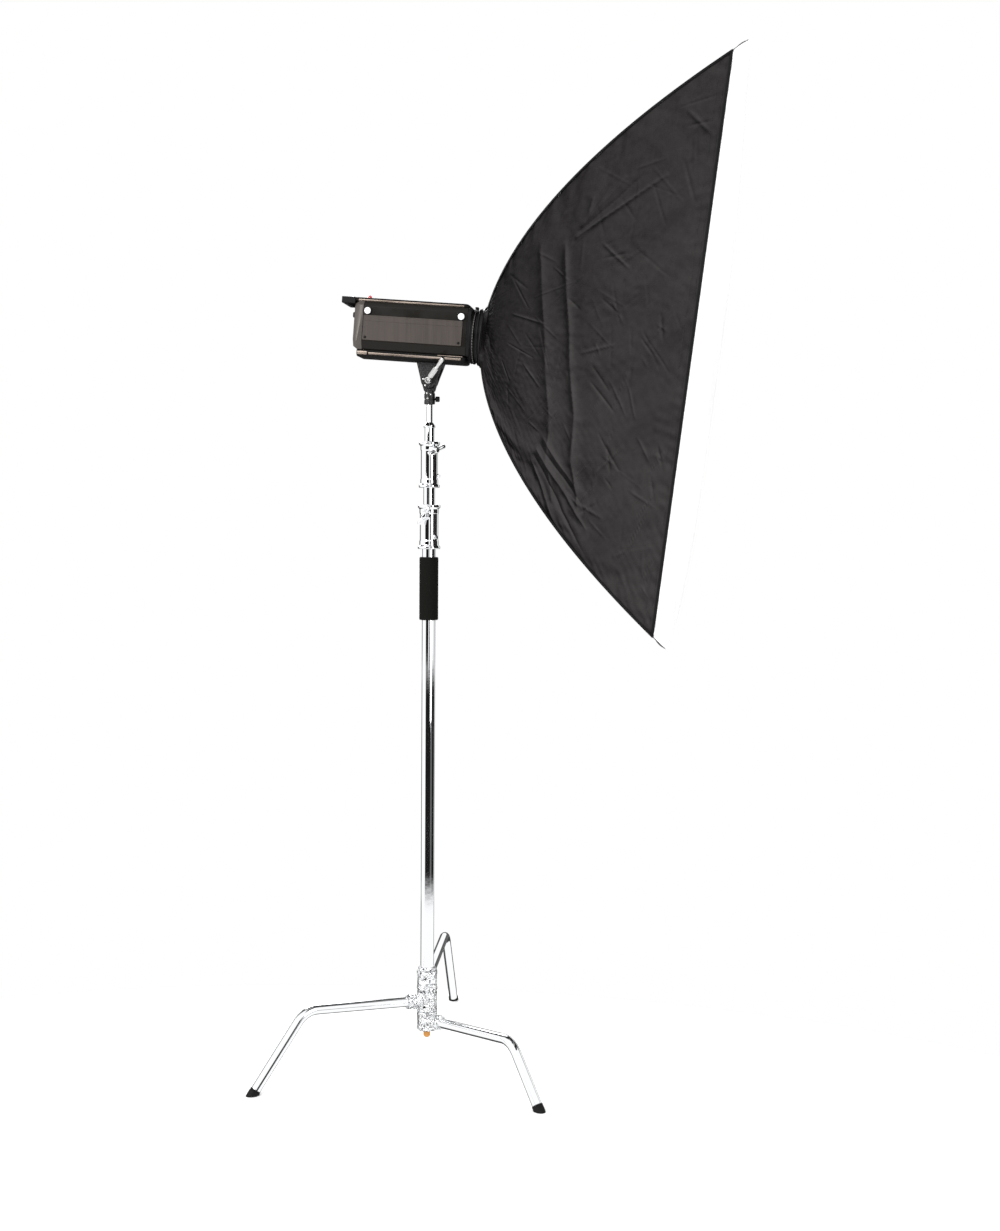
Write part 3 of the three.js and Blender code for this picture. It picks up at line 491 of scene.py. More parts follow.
def block(low, high):
    (x0, y0, z0), (x1, y1, z1) = low, high
    return prism([(x0, y0), (x1, y0), (x1, y1), (x0, y1)], z0, z1)


SHARP = math.radians(38)


def piece(name, shape, where, body, paint, bevel=0.0, segments=2, flip=True):
    """A finished object: in the row frame, riding on a body, painted and shaded smooth."""
    mesh = bpy.data.meshes.new(name)
    mesh.from_pydata([where @ p for p in shape.points], [], shape.faces)
    if flip:
        work = bmesh.new()
        work.from_mesh(mesh)
        bmesh.ops.remove_doubles(work, verts=work.verts, dist=1e-6)
        bmesh.ops.recalc_face_normals(work, faces=work.faces)
        work.to_mesh(mesh)
        work.free()
    mesh.materials.append(paint.material)
    mesh.shade_smooth()
    thing = bpy.data.objects.new(name, mesh)
    bpy.context.collection.objects.link(thing)
    if bevel:
        edge = thing.modifiers.new("bevel", "BEVEL")
        edge.width = bevel * MM
        edge.segments = segments
        edge.limit_method = "ANGLE"
        edge.angle_limit = SHARP
        edge.harden_normals = True
    else:
        mesh.set_sharp_from_angle(angle=SHARP)
    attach(thing, body)
    return thing


def put(name, shape, where, body, paint, slot, node=None, bevel=0.0, segments=2, flip=True):
    """A finished piece that may stand for a node of the frame."""
    thing = piece(name, shape, where, body, paint, bevel, segments, flip)
    if node:
        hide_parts(node)
    return thing


def on_box(name, shape, paint, slot="black_fabric", node=None, **finish):
    return put(name, shape, BOX, "softbox", paint, slot, node, **finish)


def on_stand(name, shape, body, paint, slot, node):
    return put(name, shape, STAND, body, paint, slot, node)


def on_lamp(name, shape, paint, slot, node=None, **finish):
    return put(name, shape, HEAD, "flash_head", paint, slot, node, **finish)


# ---------------------------------------------------------------- softbox cloth

PANELS = {
    # side, the coordinate it stands off along, the coordinate it spans, columns and rows
    "top": (1, 2, 1, 100, 110),
    "bottom": (-1, 2, 1, 100, 110),
    "left": (1, 1, 2, 190, 110),
    "right": (-1, 1, 2, 190, 110),
}
COARSE = 2  # the cloth is simulated on every second line of the finished sheet


def panel_point(name, share, s):
    """A place on a panel, from one seam to the other, at a share s along the rods."""
    side, height, width, _, _ = PANELS[name]
    place = corner(s)
    result = Vector((place.x, 0, 0))
    result[height] = side * place[height]
    result[width] = (2 * share - 1) * place[width]
    return result


def arc_lengths(rows):
    """How far each row of a panel lies from the neck, along the rods seen from the side."""
    path = [corner(BAND_START * j / rows) for j in range(rows + 1)]
    steps = [math.hypot(b.x - a.x, b.y - a.y) for a, b in zip(path, path[1:])]
    return np.concatenate([[0], np.cumsum(steps)])


def normals_of(points):
    """Unit normals of a grid of points with shape (rows, columns, 3)."""
    across = np.gradient(points, axis=1)
    along = np.gradient(points, axis=0)
    normal = np.cross(across, along)
    return normal / np.maximum(np.linalg.norm(normal, axis=2, keepdims=True), 1e-9)


def sheet_shape(points):
    rows, columns, _ = points.shape
    flat = points.reshape(-1, 3)
    faces = []
    for j in range(rows - 1):
        for i in range(columns - 1):
            a = j * columns + i
            faces.append((a, a + 1, a + columns + 1, a + columns))
    return Shape(flat, faces)


CLOTH = {
    "quality": 6, "mass": 0.15, "tension_stiffness": 40, "compression_stiffness": 40,
    "shear_stiffness": 20, "bending_stiffness": 0.6, "air_damping": 2,
}
CLOTH_FRAMES = 16
CLOTH_GROWTH = 0.006


def settle(points, growth, inward, outward, seed):
    """Lets a grid of cloth, a little too large for its edges, buckle; it moves no further than it may."""
    rows, columns, _ = points.shape
    draw = random.Random(seed)
    mesh = bpy.data.meshes.new("cloth")
    normal = normals_of(points)
    start = points.copy()
    for j in range(1, rows - 1):
        for i in range(1, columns - 1):
            start[j, i] += normal[j, i] * draw.uniform(-0.6, 0.6)
    mesh.from_pydata((start.reshape(-1, 3) * MM).tolist(), [], sheet_shape(points).faces)
    cloth = bpy.data.objects.new("cloth", mesh)
    bpy.context.collection.objects.link(cloth)
    pins = cloth.vertex_groups.new(name="pins")
    rim = [j * columns + i for j in range(rows) for i in range(columns)
           if i in (0, columns - 1) or j in (0, rows - 1)]
    pins.add(rim, 1.0, "REPLACE")
    modifier = cloth.modifiers.new("cloth", "CLOTH")
    settings = modifier.settings
    for key, value in CLOTH.items():
        setattr(settings, key, value)
    settings.vertex_group_mass = "pins"
    settings.shrink_min = -growth
    settings.effector_weights.gravity = 0.15
    modifier.collision_settings.use_collision = False
    scene = bpy.context.scene
    for step in range(1, CLOTH_FRAMES + 1):
        scene.frame_set(step)
    done = cloth.evaluated_get(bpy.context.evaluated_depsgraph_get()).to_mesh()
    result = np.zeros(rows * columns * 3, np.float32)
    done.vertices.foreach_get("co", result)
    scene.frame_set(1)
    bpy.data.objects.remove(cloth)
    bpy.data.meshes.remove(mesh)
    move = result.reshape(rows, columns, 3).astype(float) / MM - points
    off = (move * normal).sum(axis=2, keepdims=True)
    limit = np.where(off > 0, outward, inward)
    eased = limit * np.tanh(off / limit)
    return points + normal * eased + (move - normal * off) * 0.5


def finer(points):
    """The same grid with a point added between each pair, along smooth curves."""
    for axis in (0, 1):
        points = np.moveaxis(points, axis, 0)
        padded = np.concatenate([[2 * points[0] - points[1]], points, [2 * points[-1] - points[-2]]])
        middle = (9 * (points[:-1] + points[1:]) - (padded[:-3] + padded[3:])) / 16
        result = np.empty((2 * len(points) - 1, *points.shape[1:]))
        result[0::2] = points
        result[1::2] = middle
        points = np.moveaxis(result, 0, axis)
    return points


def crease_depth(flat, creases):
    """The depth of a set of folds at flat places; a fold is (start, end, depth, width)."""
    depth = np.zeros(flat.shape[:2])
    for start, end, deep, wide in creases:
        a, b = np.array(start, float), np.array(end, float)
        along = b - a
        t = np.clip(((flat - a) @ along) / (along @ along), 0, 1)
        away = np.linalg.norm(flat - a - t[..., None] * along, axis=2)
        taper = np.sin(math.pi * np.clip(t * 0.9 + 0.05, 0, 1)) ** 0.6
        depth += deep * taper * (np.exp(-away / wide) - 0.45 * np.exp(-((away / (2.6 * wide)) ** 2)))
    return depth


def random_creases(seed, count, half_widths, length):
    """Folds left from packing: short, in two main directions, scattered over the panel."""
    draw = random.Random(seed)
    folds = []
    for _ in range(count):
        row = length * draw.uniform(0.08, 0.95) ** 0.7
        reach = float(np.interp(row / length, np.linspace(0, 1, len(half_widths)), half_widths))
        middle = np.array((draw.uniform(-0.92, 0.92) * reach, row))
        angle = draw.choice((0.75, -0.7, 1.45)) + draw.gauss(0, 0.28)
        half = draw.uniform(12, 60)
        step = np.array((math.sin(angle), math.cos(angle))) * half
        depth = draw.choice((-1, 1)) * draw.uniform(0.5, 1.7)
        folds.append((middle - step, middle + step, depth, draw.uniform(2.2, 4.5)))
    return folds


SAG_RUNS = ((240, 6.0, 12), (170, 5.0, 19))  # distance from the neck, depth and width
SAG_SLOPE = 0.2  # how much further from the neck a run lies for each millimetre it goes down
SAG_TOP, SAG_BOTTOM, SAG_PARTS = 220, -400, 6
FANS = (
    # start, first angle from the line to the rim, step of the angle, first length, step of the length
    ((240, 270), 35, 9, 260, -40),
    ((-300, 220), -58, 9, 320, -45),
)
FAN_FOLDS = 5
STARS = ((-260, 560), (-280, 430), (510, 550), (40, 520), (200, 380), (-20, 360), (-400, 390))
STAR_DEPTHS = (2.4, -1.9, 1.2)
FAR_FOLD_DEPTH = 0.7  # the side that faces away has shallower folds


def packed_folds(sign, strength):
    """The folds a side panel keeps from its bag: runs that sag across it, fans to its corners, stars."""
    folds = []
    for along, depth, width in SAG_RUNS:
        line = []
        for k in range(SAG_PARTS + 1):
            x = SAG_TOP + (SAG_BOTTOM - SAG_TOP) * k / SAG_PARTS
            line.append((sign * x, along + SAG_SLOPE * (SAG_TOP - x) * (1 - 0.1 * (k % 2))))
        folds += [(start, stop, strength * depth, width) for start, stop in zip(line, line[1:])]
    for (x, y), angle, step, length, shorter in FANS:
        for k in range(FAN_FOLDS):
            turn = math.radians(angle + step * k)
            reach = length + shorter * k
            start = (sign * (x + 14 * k), y + 6 * k)
            stop = (sign * (x + reach * math.sin(turn)), y + reach * math.cos(turn))
            folds.append((start, stop, strength * (5.5 - 0.5 * k) * (1, -0.7)[k % 2], 6 + k / 2))
    for x, y in STARS:
        for k, depth in enumerate(STAR_DEPTHS):
            turn = 0.5 + 0.9 * k + 0.01 * x
            half = 44 - 14 * k
            u, v = half * math.sin(turn), half * math.cos(turn)
            folds.append(((sign * (x - u), y - v), (sign * (x + u), y + v), strength * depth, 4.6))
    return folds


def bag_folds(sign):
    """The few folds of a top or bottom panel."""
    return [((-55, 165), (sign * 65, 188), 4.0, 16), ((-sign * 115, 425), (sign * 50, 635), 3.4, 7),
            ((sign * 45, 300), (sign * 140, 475), 3.4, 7)]


LONG_FOLDS = {
    "right": packed_folds(1, 1.0), "left": packed_folds(-1, FAR_FOLD_DEPTH),
    "top": bag_folds(1), "bottom": bag_folds(-1),
}
LOOSE_CREASES = 120
LINING_GAP = 1.6  # between a panel and its lining at the seams, and how much more in the middle
LINING_SLACK = 6.0
LINING_STEP = 4  # the lining takes every fourth point of the panel
PAINTED_SHADE_LAYER = "painted_shade"  # painted light and shade on the cloth at each place, from 0 to 1
# the direction of a made-up light: folds that tilt towards it are painted lighter, those that tilt away darker
PAINTED_LIGHT_DIRECTION = np.array((0.62, 0.0, 0.78))
PAINTED_SHADE_BASE = 0.07
PAINTED_LIGHT_TOWARDS_RIM = 0.5  # painted lighter towards the rim, darker near the neck
PAINTED_LIGHT_LOW_DOWN = 0.10  # and painted lighter lower down, as by light thrown up from the floor
# how strongly the tilt of the folds and of the buckles is painted as light and shade
FOLD_SHADE_GAIN = 2.6
BUCKLE_SHADE_GAIN = 0.8
PANEL_SAG = 5  # how far a panel's middle is pulled in between the rods
PANEL_SETTLE = (9, 5)  # how far its cloth may move inwards and outwards
EDGE_FADE, RIM_FADE = 22, 18  # how soon the folds start from the seams and from the ends


def make_panel(name, seed, black, silver):
    """A black panel with its folds and their painted light and shade, and the silver lining inside it."""
    _, _, width, columns, rows = PANELS[name]
    base = np.array([
        [panel_point(name, i / (columns // COARSE), BAND_START * j / (rows // COARSE))
         for i in range(columns // COARSE + 1)]
        for j in range(rows // COARSE + 1)
    ])
    outward = normals_of(base)
    centre = base.mean(axis=(0, 1)) * (0, 1, 1)
    if (outward.mean(axis=(0, 1)) * centre).sum() < 0:
        base = base[:, ::-1]
        outward = normals_of(base)
    across = np.linspace(-1, 1, base.shape[1])[None, :, None]
    down = np.linspace(0, 1, base.shape[0])[:, None, None]
    base = base - outward * PANEL_SAG * (1 - across**2) * np.sin(math.pi * down) ** 0.8
    sheet = finer(finer(settle(base, CLOTH_GROWTH, *PANEL_SETTLE, seed)))

    lengths = arc_lengths(sheet.shape[0] - 1)
    half = np.array([corner(BAND_START * j / (sheet.shape[0] - 1))[width] for j in range(sheet.shape[0])])
    flat = np.zeros((*sheet.shape[:2], 2))
    flat[..., 0] = sheet[..., width]
    flat[..., 1] = lengths[:, None]
    folds = LONG_FOLDS[name] + random_creases(seed + 1, LOOSE_CREASES, half, lengths[-1])
    rim, edge = (np.minimum(np.linspace(0, 1, count), np.linspace(1, 0, count)) for count in sheet.shape[:2])
    fade = np.clip(edge[None, :] * EDGE_FADE, 0, 1) * np.clip(rim[:, None] * RIM_FADE, 0, 1)
    plain = normals_of(finer(finer(base)))
    before = normals_of(sheet)
    lining = (sheet - before * (LINING_GAP + LINING_SLACK * fade)[..., None])[::LINING_STEP, ::LINING_STEP]
    sheet = sheet + before * (crease_depth(flat, folds) * fade)[..., None]

    shown = on_box(f"cloth_{name}", sheet_shape(sheet), black, node=f"shell_{name}", flip=False)
    # Painted light and shade: the folds and buckles lit from one side by a made-up light, the panel darker near
    # the neck and lighter towards the rim and lower down.
    fold_shade = ((normals_of(sheet) - before) * PAINTED_LIGHT_DIRECTION).sum(axis=2)
    buckle_shade = ((before - plain) * PAINTED_LIGHT_DIRECTION).sum(axis=2)
    reach = (flat[..., 1] / lengths[-1]) ** 0.8
    lowness = -sheet[..., 2] / RIM_Z
    painted_shade = PAINTED_SHADE_BASE + PAINTED_LIGHT_TOWARDS_RIM * reach + PAINTED_LIGHT_LOW_DOWN * lowness
    painted_shade = np.clip(painted_shade + FOLD_SHADE_GAIN * fold_shade + BUCKLE_SHADE_GAIN * buckle_shade, 0, 1)
    layer = shown.data.attributes.new(PAINTED_SHADE_LAYER, "FLOAT", "POINT")
    layer.data.foreach_set("value", painted_shade.reshape(-1).astype(np.float32))
    inside = on_box(f"lining_{name}", sheet_shape(lining[:, ::-1]), silver, flip=False)


CORNERS = {"top_left": (1, 1), "top_right": (-1, 1), "bottom_left": (1, -1), "bottom_right": (-1, -1)}


def corner_path(sides, start, stop, steps, out=0.0):
    """Points along one corner line, pushed outwards a little."""
    path = []
    for k in range(steps + 1):
        place = corner(start + (stop - start) * k / steps)
        path.append(Vector((place.x, sides[0] * (place.y + out), sides[1] * (place.z + out))))
    return path


def tape_outline(width, height):
    """The section of a strip of binding: flat below and rounded above."""
    return rectangle(-width / 2, 0, width / 2, height, min(width, height) * 0.45, 2)


def strip(path, outward, width, height, closed=False):
    """A strip along a path, lying on a surface whose outward direction is given at each point."""
    rings = []
    for k, place in enumerate(path):
        along = heading(path, k, closed)
        up = (outward[k] - along * outward[k].dot(along)).normalized()
        side = up.cross(along)
        rings.append([place + side * u + up * v for u, v in tape_outline(width, height)])
    return loft(rings, closed)


STITCH = 3.6
STITCH_PITCH = 5.2
STITCH_LIFT = 0.3
THREAD_R = 0.42
THREAD_RUN = ((0.0, -0.2, 0.5), (0.3, 1, 1), (0.7, 1, 1), (1.0, -0.2, 0.5))  # share, rise and thickness


def stitches(path, outward):
    """A row of stitches round a closed path, each a short thread that dips at both ends."""
    points, ups = path + path[:1], outward + outward[:1]
    lengths = [0.0]
    for a, b in zip(points, points[1:]):
        lengths.append(lengths[-1] + (b - a).length)

    def place(distance):
        k = min(int(np.searchsorted(lengths, distance, side="right")) - 1, len(points) - 2)
        t = (distance - lengths[k]) / max(lengths[k + 1] - lengths[k], 1e-6)
        return points[k].lerp(points[k + 1], t), ups[k].lerp(ups[k + 1], t).normalized()

    made = []
    for n in range(int(lengths[-1] / STITCH_PITCH)):
        rings = []
        for t, rise, wide in THREAD_RUN:
            distance = n * STITCH_PITCH + t * STITCH
            here, up = place(distance)
            ahead, _ = place(min(distance + 0.2, lengths[-1]))
            side = (ahead - here).normalized().cross(up).normalized()
            middle = here + up * (STITCH_LIFT * rise)
            rings.append([middle + side * u + up * v for u, v in circle(THREAD_R * wide, 4)])
        made.append(loft(rings))
    return merged(made)


SEAM_STEPS = 70


def make_seams(black):
    """The bound seams over the four rods."""
    for name, (y, z) in CORNERS.items():
        path = corner_path((y, z), 0.0, BAND_START, SEAM_STEPS, out=0.4)
        outward = [Vector((-0.5, y * 0.6, z * 0.6)).normalized()] * len(path)
        on_box(f"seam_{name}", strip(path, outward, 9, 2.2), black)


RIM_NORMALS = ((1, 0), (0, 1), (-1, 0), (0, -1))


def rim_loop(s, steps, out=0.0):
    """A loop round the box at a share s, with places and outward directions."""
    place = corner(s)
    y, z = place.y + out, place.z + out
    ends = [(y, -z), (y, z), (-y, z), (-y, -z)]
    path, outward = [], []
    for k in range(4):
        a, b = ends[k], ends[(k + 1) % 4]
        normal = Vector((0, *RIM_NORMALS[k]))
        before = Vector((0, *RIM_NORMALS[k - 1]))
        count = steps // (1 + k % 2)
        for i in range(count):
            t = i / count
            path.append(Vector((place.x, a[0] + (b[0] - a[0]) * t, a[1] + (b[1] - a[1]) * t)))
            outward.append(normal if i else (normal + before).normalized())
    return path, outward


def make_hem(binding, thread):
    """The black binding round the front edge, and its two rows of stitches."""
    path, outward = rim_loop(BAND_START - 0.003, 90, out=0.3)
    on_box("front_binding", strip(path, outward, 7, 2.4, closed=True), binding)
    for tag, s in (("outer", BAND_START - 0.014), ("inner", BAND_START - 0.03)):
        on_box(f"hem_stitches_{tag}", stitches(*rim_loop(s, 90, out=0.6)), thread)


# ---------------------------------------------------------------- diffuser


BAND_BACK = BAND_START - 0.002
BAND_ROWS = 6
FRONT_COLUMNS = 72
FRONT_ROWS = 144
BAND_GATHER = 3.6
FRONT_GROWTH, FRONT_SETTLE, FRONT_SEED = 0.0025, (4, 3), 41


def gather(distance, across):
    """How far the white band is drawn in near a corner, in folds across it."""
    near = math.exp(-distance / 120)
    folds = math.sin(distance / 8.5 + 1.3 * math.sin(across * 3)) + 0.5 * math.sin(distance / 21 + 2)
    return BAND_GATHER * (0.12 + near) * folds


def make_diffuser(white, piping, tan, dark):
    """The white front with the band that turns back from it, its piping, and the corners' trim."""
    front = corner(1.0)

    def face(u, v):
        y, z = 2 * u - 1, 2 * v - 1
        swell = FRONT_BULGE * (1 - y**4) * (1 - z**4)
        edge = min(1 - abs(y), (1 - abs(z)) * RIM_Z / RIM_Y) * RIM_Y
        ripple = 1.2 * math.exp(-edge / 60) * math.sin(0.045 * (y * RIM_Y + z * RIM_Z) + 2 * y)
        ripple *= min(edge / 12, 1)
        return Vector((front.x + swell + ripple, y * front.y, z * front.z))

    points = np.array([[face(i / FRONT_COLUMNS, j / FRONT_ROWS) for i in range(FRONT_COLUMNS + 1)]
                       for j in range(FRONT_ROWS + 1)])
    sheet = settle(points, FRONT_GROWTH, *FRONT_SETTLE, FRONT_SEED)
    cloth = [sheet_shape(sheet)]
    for side in range(4):
        rows = []
        steps = FRONT_ROWS if side in (0, 2) else FRONT_COLUMNS
        for j in range(BAND_ROWS + 1):
            t = j / BAND_ROWS
            place = corner(1.0 + (BAND_BACK - 1.0) * t)
            line = []
            for i in range(steps + 1):
                w = 2 * i / steps - 1
                span = front.z if side in (0, 2) else front.y
                distance = (1 - abs(w)) * span
                pull = gather(distance, t) * math.sin(math.pi * t)
                along = {0: (place.y + pull, w * place.z), 1: (-w * place.y, place.z + pull),
                         2: (-place.y - pull, -w * place.z), 3: (w * place.y, -place.z - pull)}[side]
                line.append((place.x, *along))
            rows.append(line)
        cloth.append(sheet_shape(np.array(rows)))
    band = on_box("front_cloth", merged(cloth), white, "white_fabric", "front_diffuser")

    path, _ = rim_loop(1.0, 80, out=-0.5)
    cord = tube([p + Vector((0.6, 0, 0)) for p in path], 1.5, 8, closed=True)
    on_box("front_piping", cord, piping, "white_fabric")
    patches, tips = [], []
    for y, z in CORNERS.values():
        tip = Vector((front.x + 0.5, y * (front.y - 2), z * (front.z - 2)))
        patches.append(corner_patch(tip, y, z))
        line = corner_path((y, z), BAND_BACK, 0.994, 10, out=1.2)
        tips.append(tube(line, 1.5, 8))
    on_box("corner_patches", merged(patches), tan, "plug_plastic", bevel=0.4)
    on_box("corner_cords", merged(tips), dark)


PATCH = 15
PATCH_THICK = 1.6


def corner_patch(tip, y, z):
    """A small leather cap over a corner of the rim: a three-sided pocket round the tip."""
    out = Vector((1.2, y * 2.0, z * 2.0))
    top = tip + out
    legs = [Vector((-PATCH, y * -4, z * -9)), Vector((0, -y * PATCH, 0)), Vector((0, 0, -z * PATCH))]
    outer = [top] + [top + leg for leg in legs]
    inner = [p - Vector((0, y, z)) * PATCH_THICK for p in outer]
    points = outer + inner
    faces = [(0, 1, 2), (0, 2, 3), (0, 3, 1), (4, 6, 5), (4, 7, 6), (4, 5, 7),
             (1, 5, 6, 2), (2, 6, 7, 3), (3, 7, 5, 1)]
    return Shape(points, faces)


# ---------------------------------------------------------------- neck and speedring


COLLAR_R = 76
COLLAR_COLUMNS, COLLAR_ROWS = 144, 8
COLLAR_PLEATS = 46
ROD_HOLDER = (47, 52)  # across and up from the ring's centre


def make_neck(black, ring_paint, screw_paint):
    """The gathered collar between the ring and the four panels, and the ring itself."""
    start = corner(0.0)
    rows = []
    for j in range(COLLAR_ROWS + 1):
        v = j / COLLAR_ROWS
        for i in range(COLLAR_COLUMNS):
            angle = 2 * math.pi * (i / COLLAR_COLUMNS)
            c, s = math.cos(angle), math.sin(angle)
            square = 1 / max(abs(c) / (start.y - 0.5), abs(s) / (start.z - 0.5))
            radius = COLLAR_R + (square - COLLAR_R) * v**0.8
            radius += 0.9 * math.sin(COLLAR_PLEATS * angle) * math.sin(math.pi * (0.15 + 0.7 * v))
            rows.append((1 + (start.x + 2.5 - 1) * v, radius * c, radius * s))
    faces = []
    for j in range(COLLAR_ROWS):
        low, high = j * COLLAR_COLUMNS, (j + 1) * COLLAR_COLUMNS
        for i in range(COLLAR_COLUMNS):
            n = (i + 1) % COLLAR_COLUMNS
            faces.append((low + i, low + n, high + n, high + i))
    collar = on_box("neck_collar", Shape(rows, faces), black)
    loop = [Vector((1.5, y, z)) for y, z in circle(COLLAR_R + 0.5, 72)]
    on_box("neck_elastic", tube(loop, 1.6, 8, closed=True), black)

    axis = aim((0, 0, AXIS_W), (1, 0, 0))
    profile = [(50.4, 119.5), (66, 119.5), (68, 121), (72.6, 121), (72.6, 124.5), (70.5, 126),
               (70.5, 131), (72.8, 132.5), (72.8, 136), (71, 137.4), (50.4, 137.4)]
    shapes = [ring(profile, 0.6, 96).moved(axis)]
    holder = turned([(0, 0), (5.2, 0), (5.2, 9), (4.4, 10), (0, 10)], 20)
    for y, z in CORNERS.values():
        place = (137.2, y * ROD_HOLDER[0], z * ROD_HOLDER[1] + AXIS_W)
        shapes.append(holder.moved(aim(place, (1, 0, 0))))
    put("ring_body", merged(shapes), HEAD, "softbox", ring_paint, "ring_metal", "speedring")

    where = aim((128.5, 0, AXIS_W), (0, 1, -1))
    shaft = turned([(0, 57), (2.5, 57), (2.5, 75), (0, 75)], 16)
    grip = knurled(7.2, 74.2, 84, 18, 0.8) + lathe([(0, 84), (6, 84), (6, 85.4), (0, 85.8)], 0.6, 32)
    put("ring_thumbscrew", (shaft + grip).moved(where), HEAD, "ring_screw", screw_paint, "black_plastic",
        "ring_lock_screw")


# ---------------------------------------------------------------- stand

ROUND = 64  # facets round the tubes, which show as mirrors
COLUMN_R, COLUMN_INSIDE = 17.5, 15.5
COLUMN_BOTTOM, COLUMN_TOP = 84, 1358
RISER_LOWER_R, RISER_LOWER_BOTTOM = 15, 300
RISER_UPPER_R, RISER_UPPER_BOTTOM = 12.5, 360
RISER_WALL = 1.5
LOWER_CLAMP, LOWER_CLAMP_R = (1347, 1461), 25
UPPER_CLAMP, UPPER_CLAMP_R = (1505, 1623), 23
CAP_Z = 1659
HUB_R = 27
HUBS = {
    # casting: leg, bottom, top and body
    "lower": ("right", 84, 134, "stand_base"),
    "middle": ("left", 134.5, 187, "left_leg"),
    "upper": ("back", 187.5, 242, "back_leg"),
}
LEGS = {
    # leg: azimuth, height of its socket, slope of its upper run, and body
    "left": (220, 161, 0.083, "left_leg"),
    "right": (316, 109, 0.102, "stand_base"),
    "back": (91.5, 216, 0.087, "back_leg"),
}
LEG_R = 12.5
KNEE_RADIUS = 352
LEG_SPLAY = 0.762
KNEE_BEND = 60
FOOT_R, FOOT_CAP, FOOT_GAP = 14, 16, 12
SOCKET_R, SOCKET_REACH = 19, 60
CLEAR = 0.3  # between pieces that touch
LOCK_AZIMUTH, LOCK_RADIUS, LOCK_BOSS_RADIUS = -53, 34, 24
COLLAR_SCREWS = (-95, 25, 145)
GRIP_R, GRIP_SPAN, GRIP_EASE = 24.5, (1163, 1326), 3
# azimuth and height of the screw, and how far its handle is turned
LOWER_KNOB, LOWER_TILT = (-100, 1433), 60
UPPER_KNOB, UPPER_TILT = (-52, 1600), 25


def around(azimuth, radius, z):
    angle = math.radians(azimuth)
    return Vector((radius * math.cos(angle), radius * math.sin(angle), z))


def pipe(outer, inner, low, high, lip=0.6, sides=ROUND):
    """A tube with its rims eased."""
    profile = [(inner, low), (outer - lip, low), (outer, low + lip), (outer, high - lip),
               (outer - lip, high), (inner, high), (inner, low)]
    return turned(profile, sides)


def leg_path(leg, steps=20):
    """The leg's centre line, from inside its socket over the round knee to the foot."""
    azimuth, socket, slope, _ = LEGS[leg]
    height = socket + slope * KNEE_RADIUS
    knee = around(azimuth, KNEE_RADIUS, height)
    inner = around(azimuth, SOCKET_REACH / 2, socket + slope * SOCKET_REACH / 2)
    ground = around(azimuth, KNEE_RADIUS + LEG_SPLAY * height, 0)
    up, down = (knee - inner).normalized(), (ground - knee).normalized()
    half = up.angle(down) / 2
    start = knee - up * KNEE_BEND * math.tan(half)
    inward = (down - up).normalized()
    centre = knee + inward * KNEE_BEND / math.cos(half)
    path = [inner, inner.lerp(start, 0.5)]
    for k in range(steps + 1):
        turn = 2 * half * k / steps
        path.append(centre + (start - centre) * math.cos(turn) + up * KNEE_BEND * math.sin(turn))
    path.append(ground - down * FOOT_GAP)
    return path, ground, down


def socket_screw(place, facing, radius=4.2, tall=4):
    """A screw with a rounded head and a hexagonal recess."""
    head = [(0, -1), (radius, -1), (radius, tall * 0.55), (radius * 0.78, tall), (radius * 0.5, tall)]
    well = [(radius * 0.5, tall), (radius * 0.5, tall * 0.35), (0, tall * 0.35)]
    return turned(head + well, 24).moved(aim(place, facing))


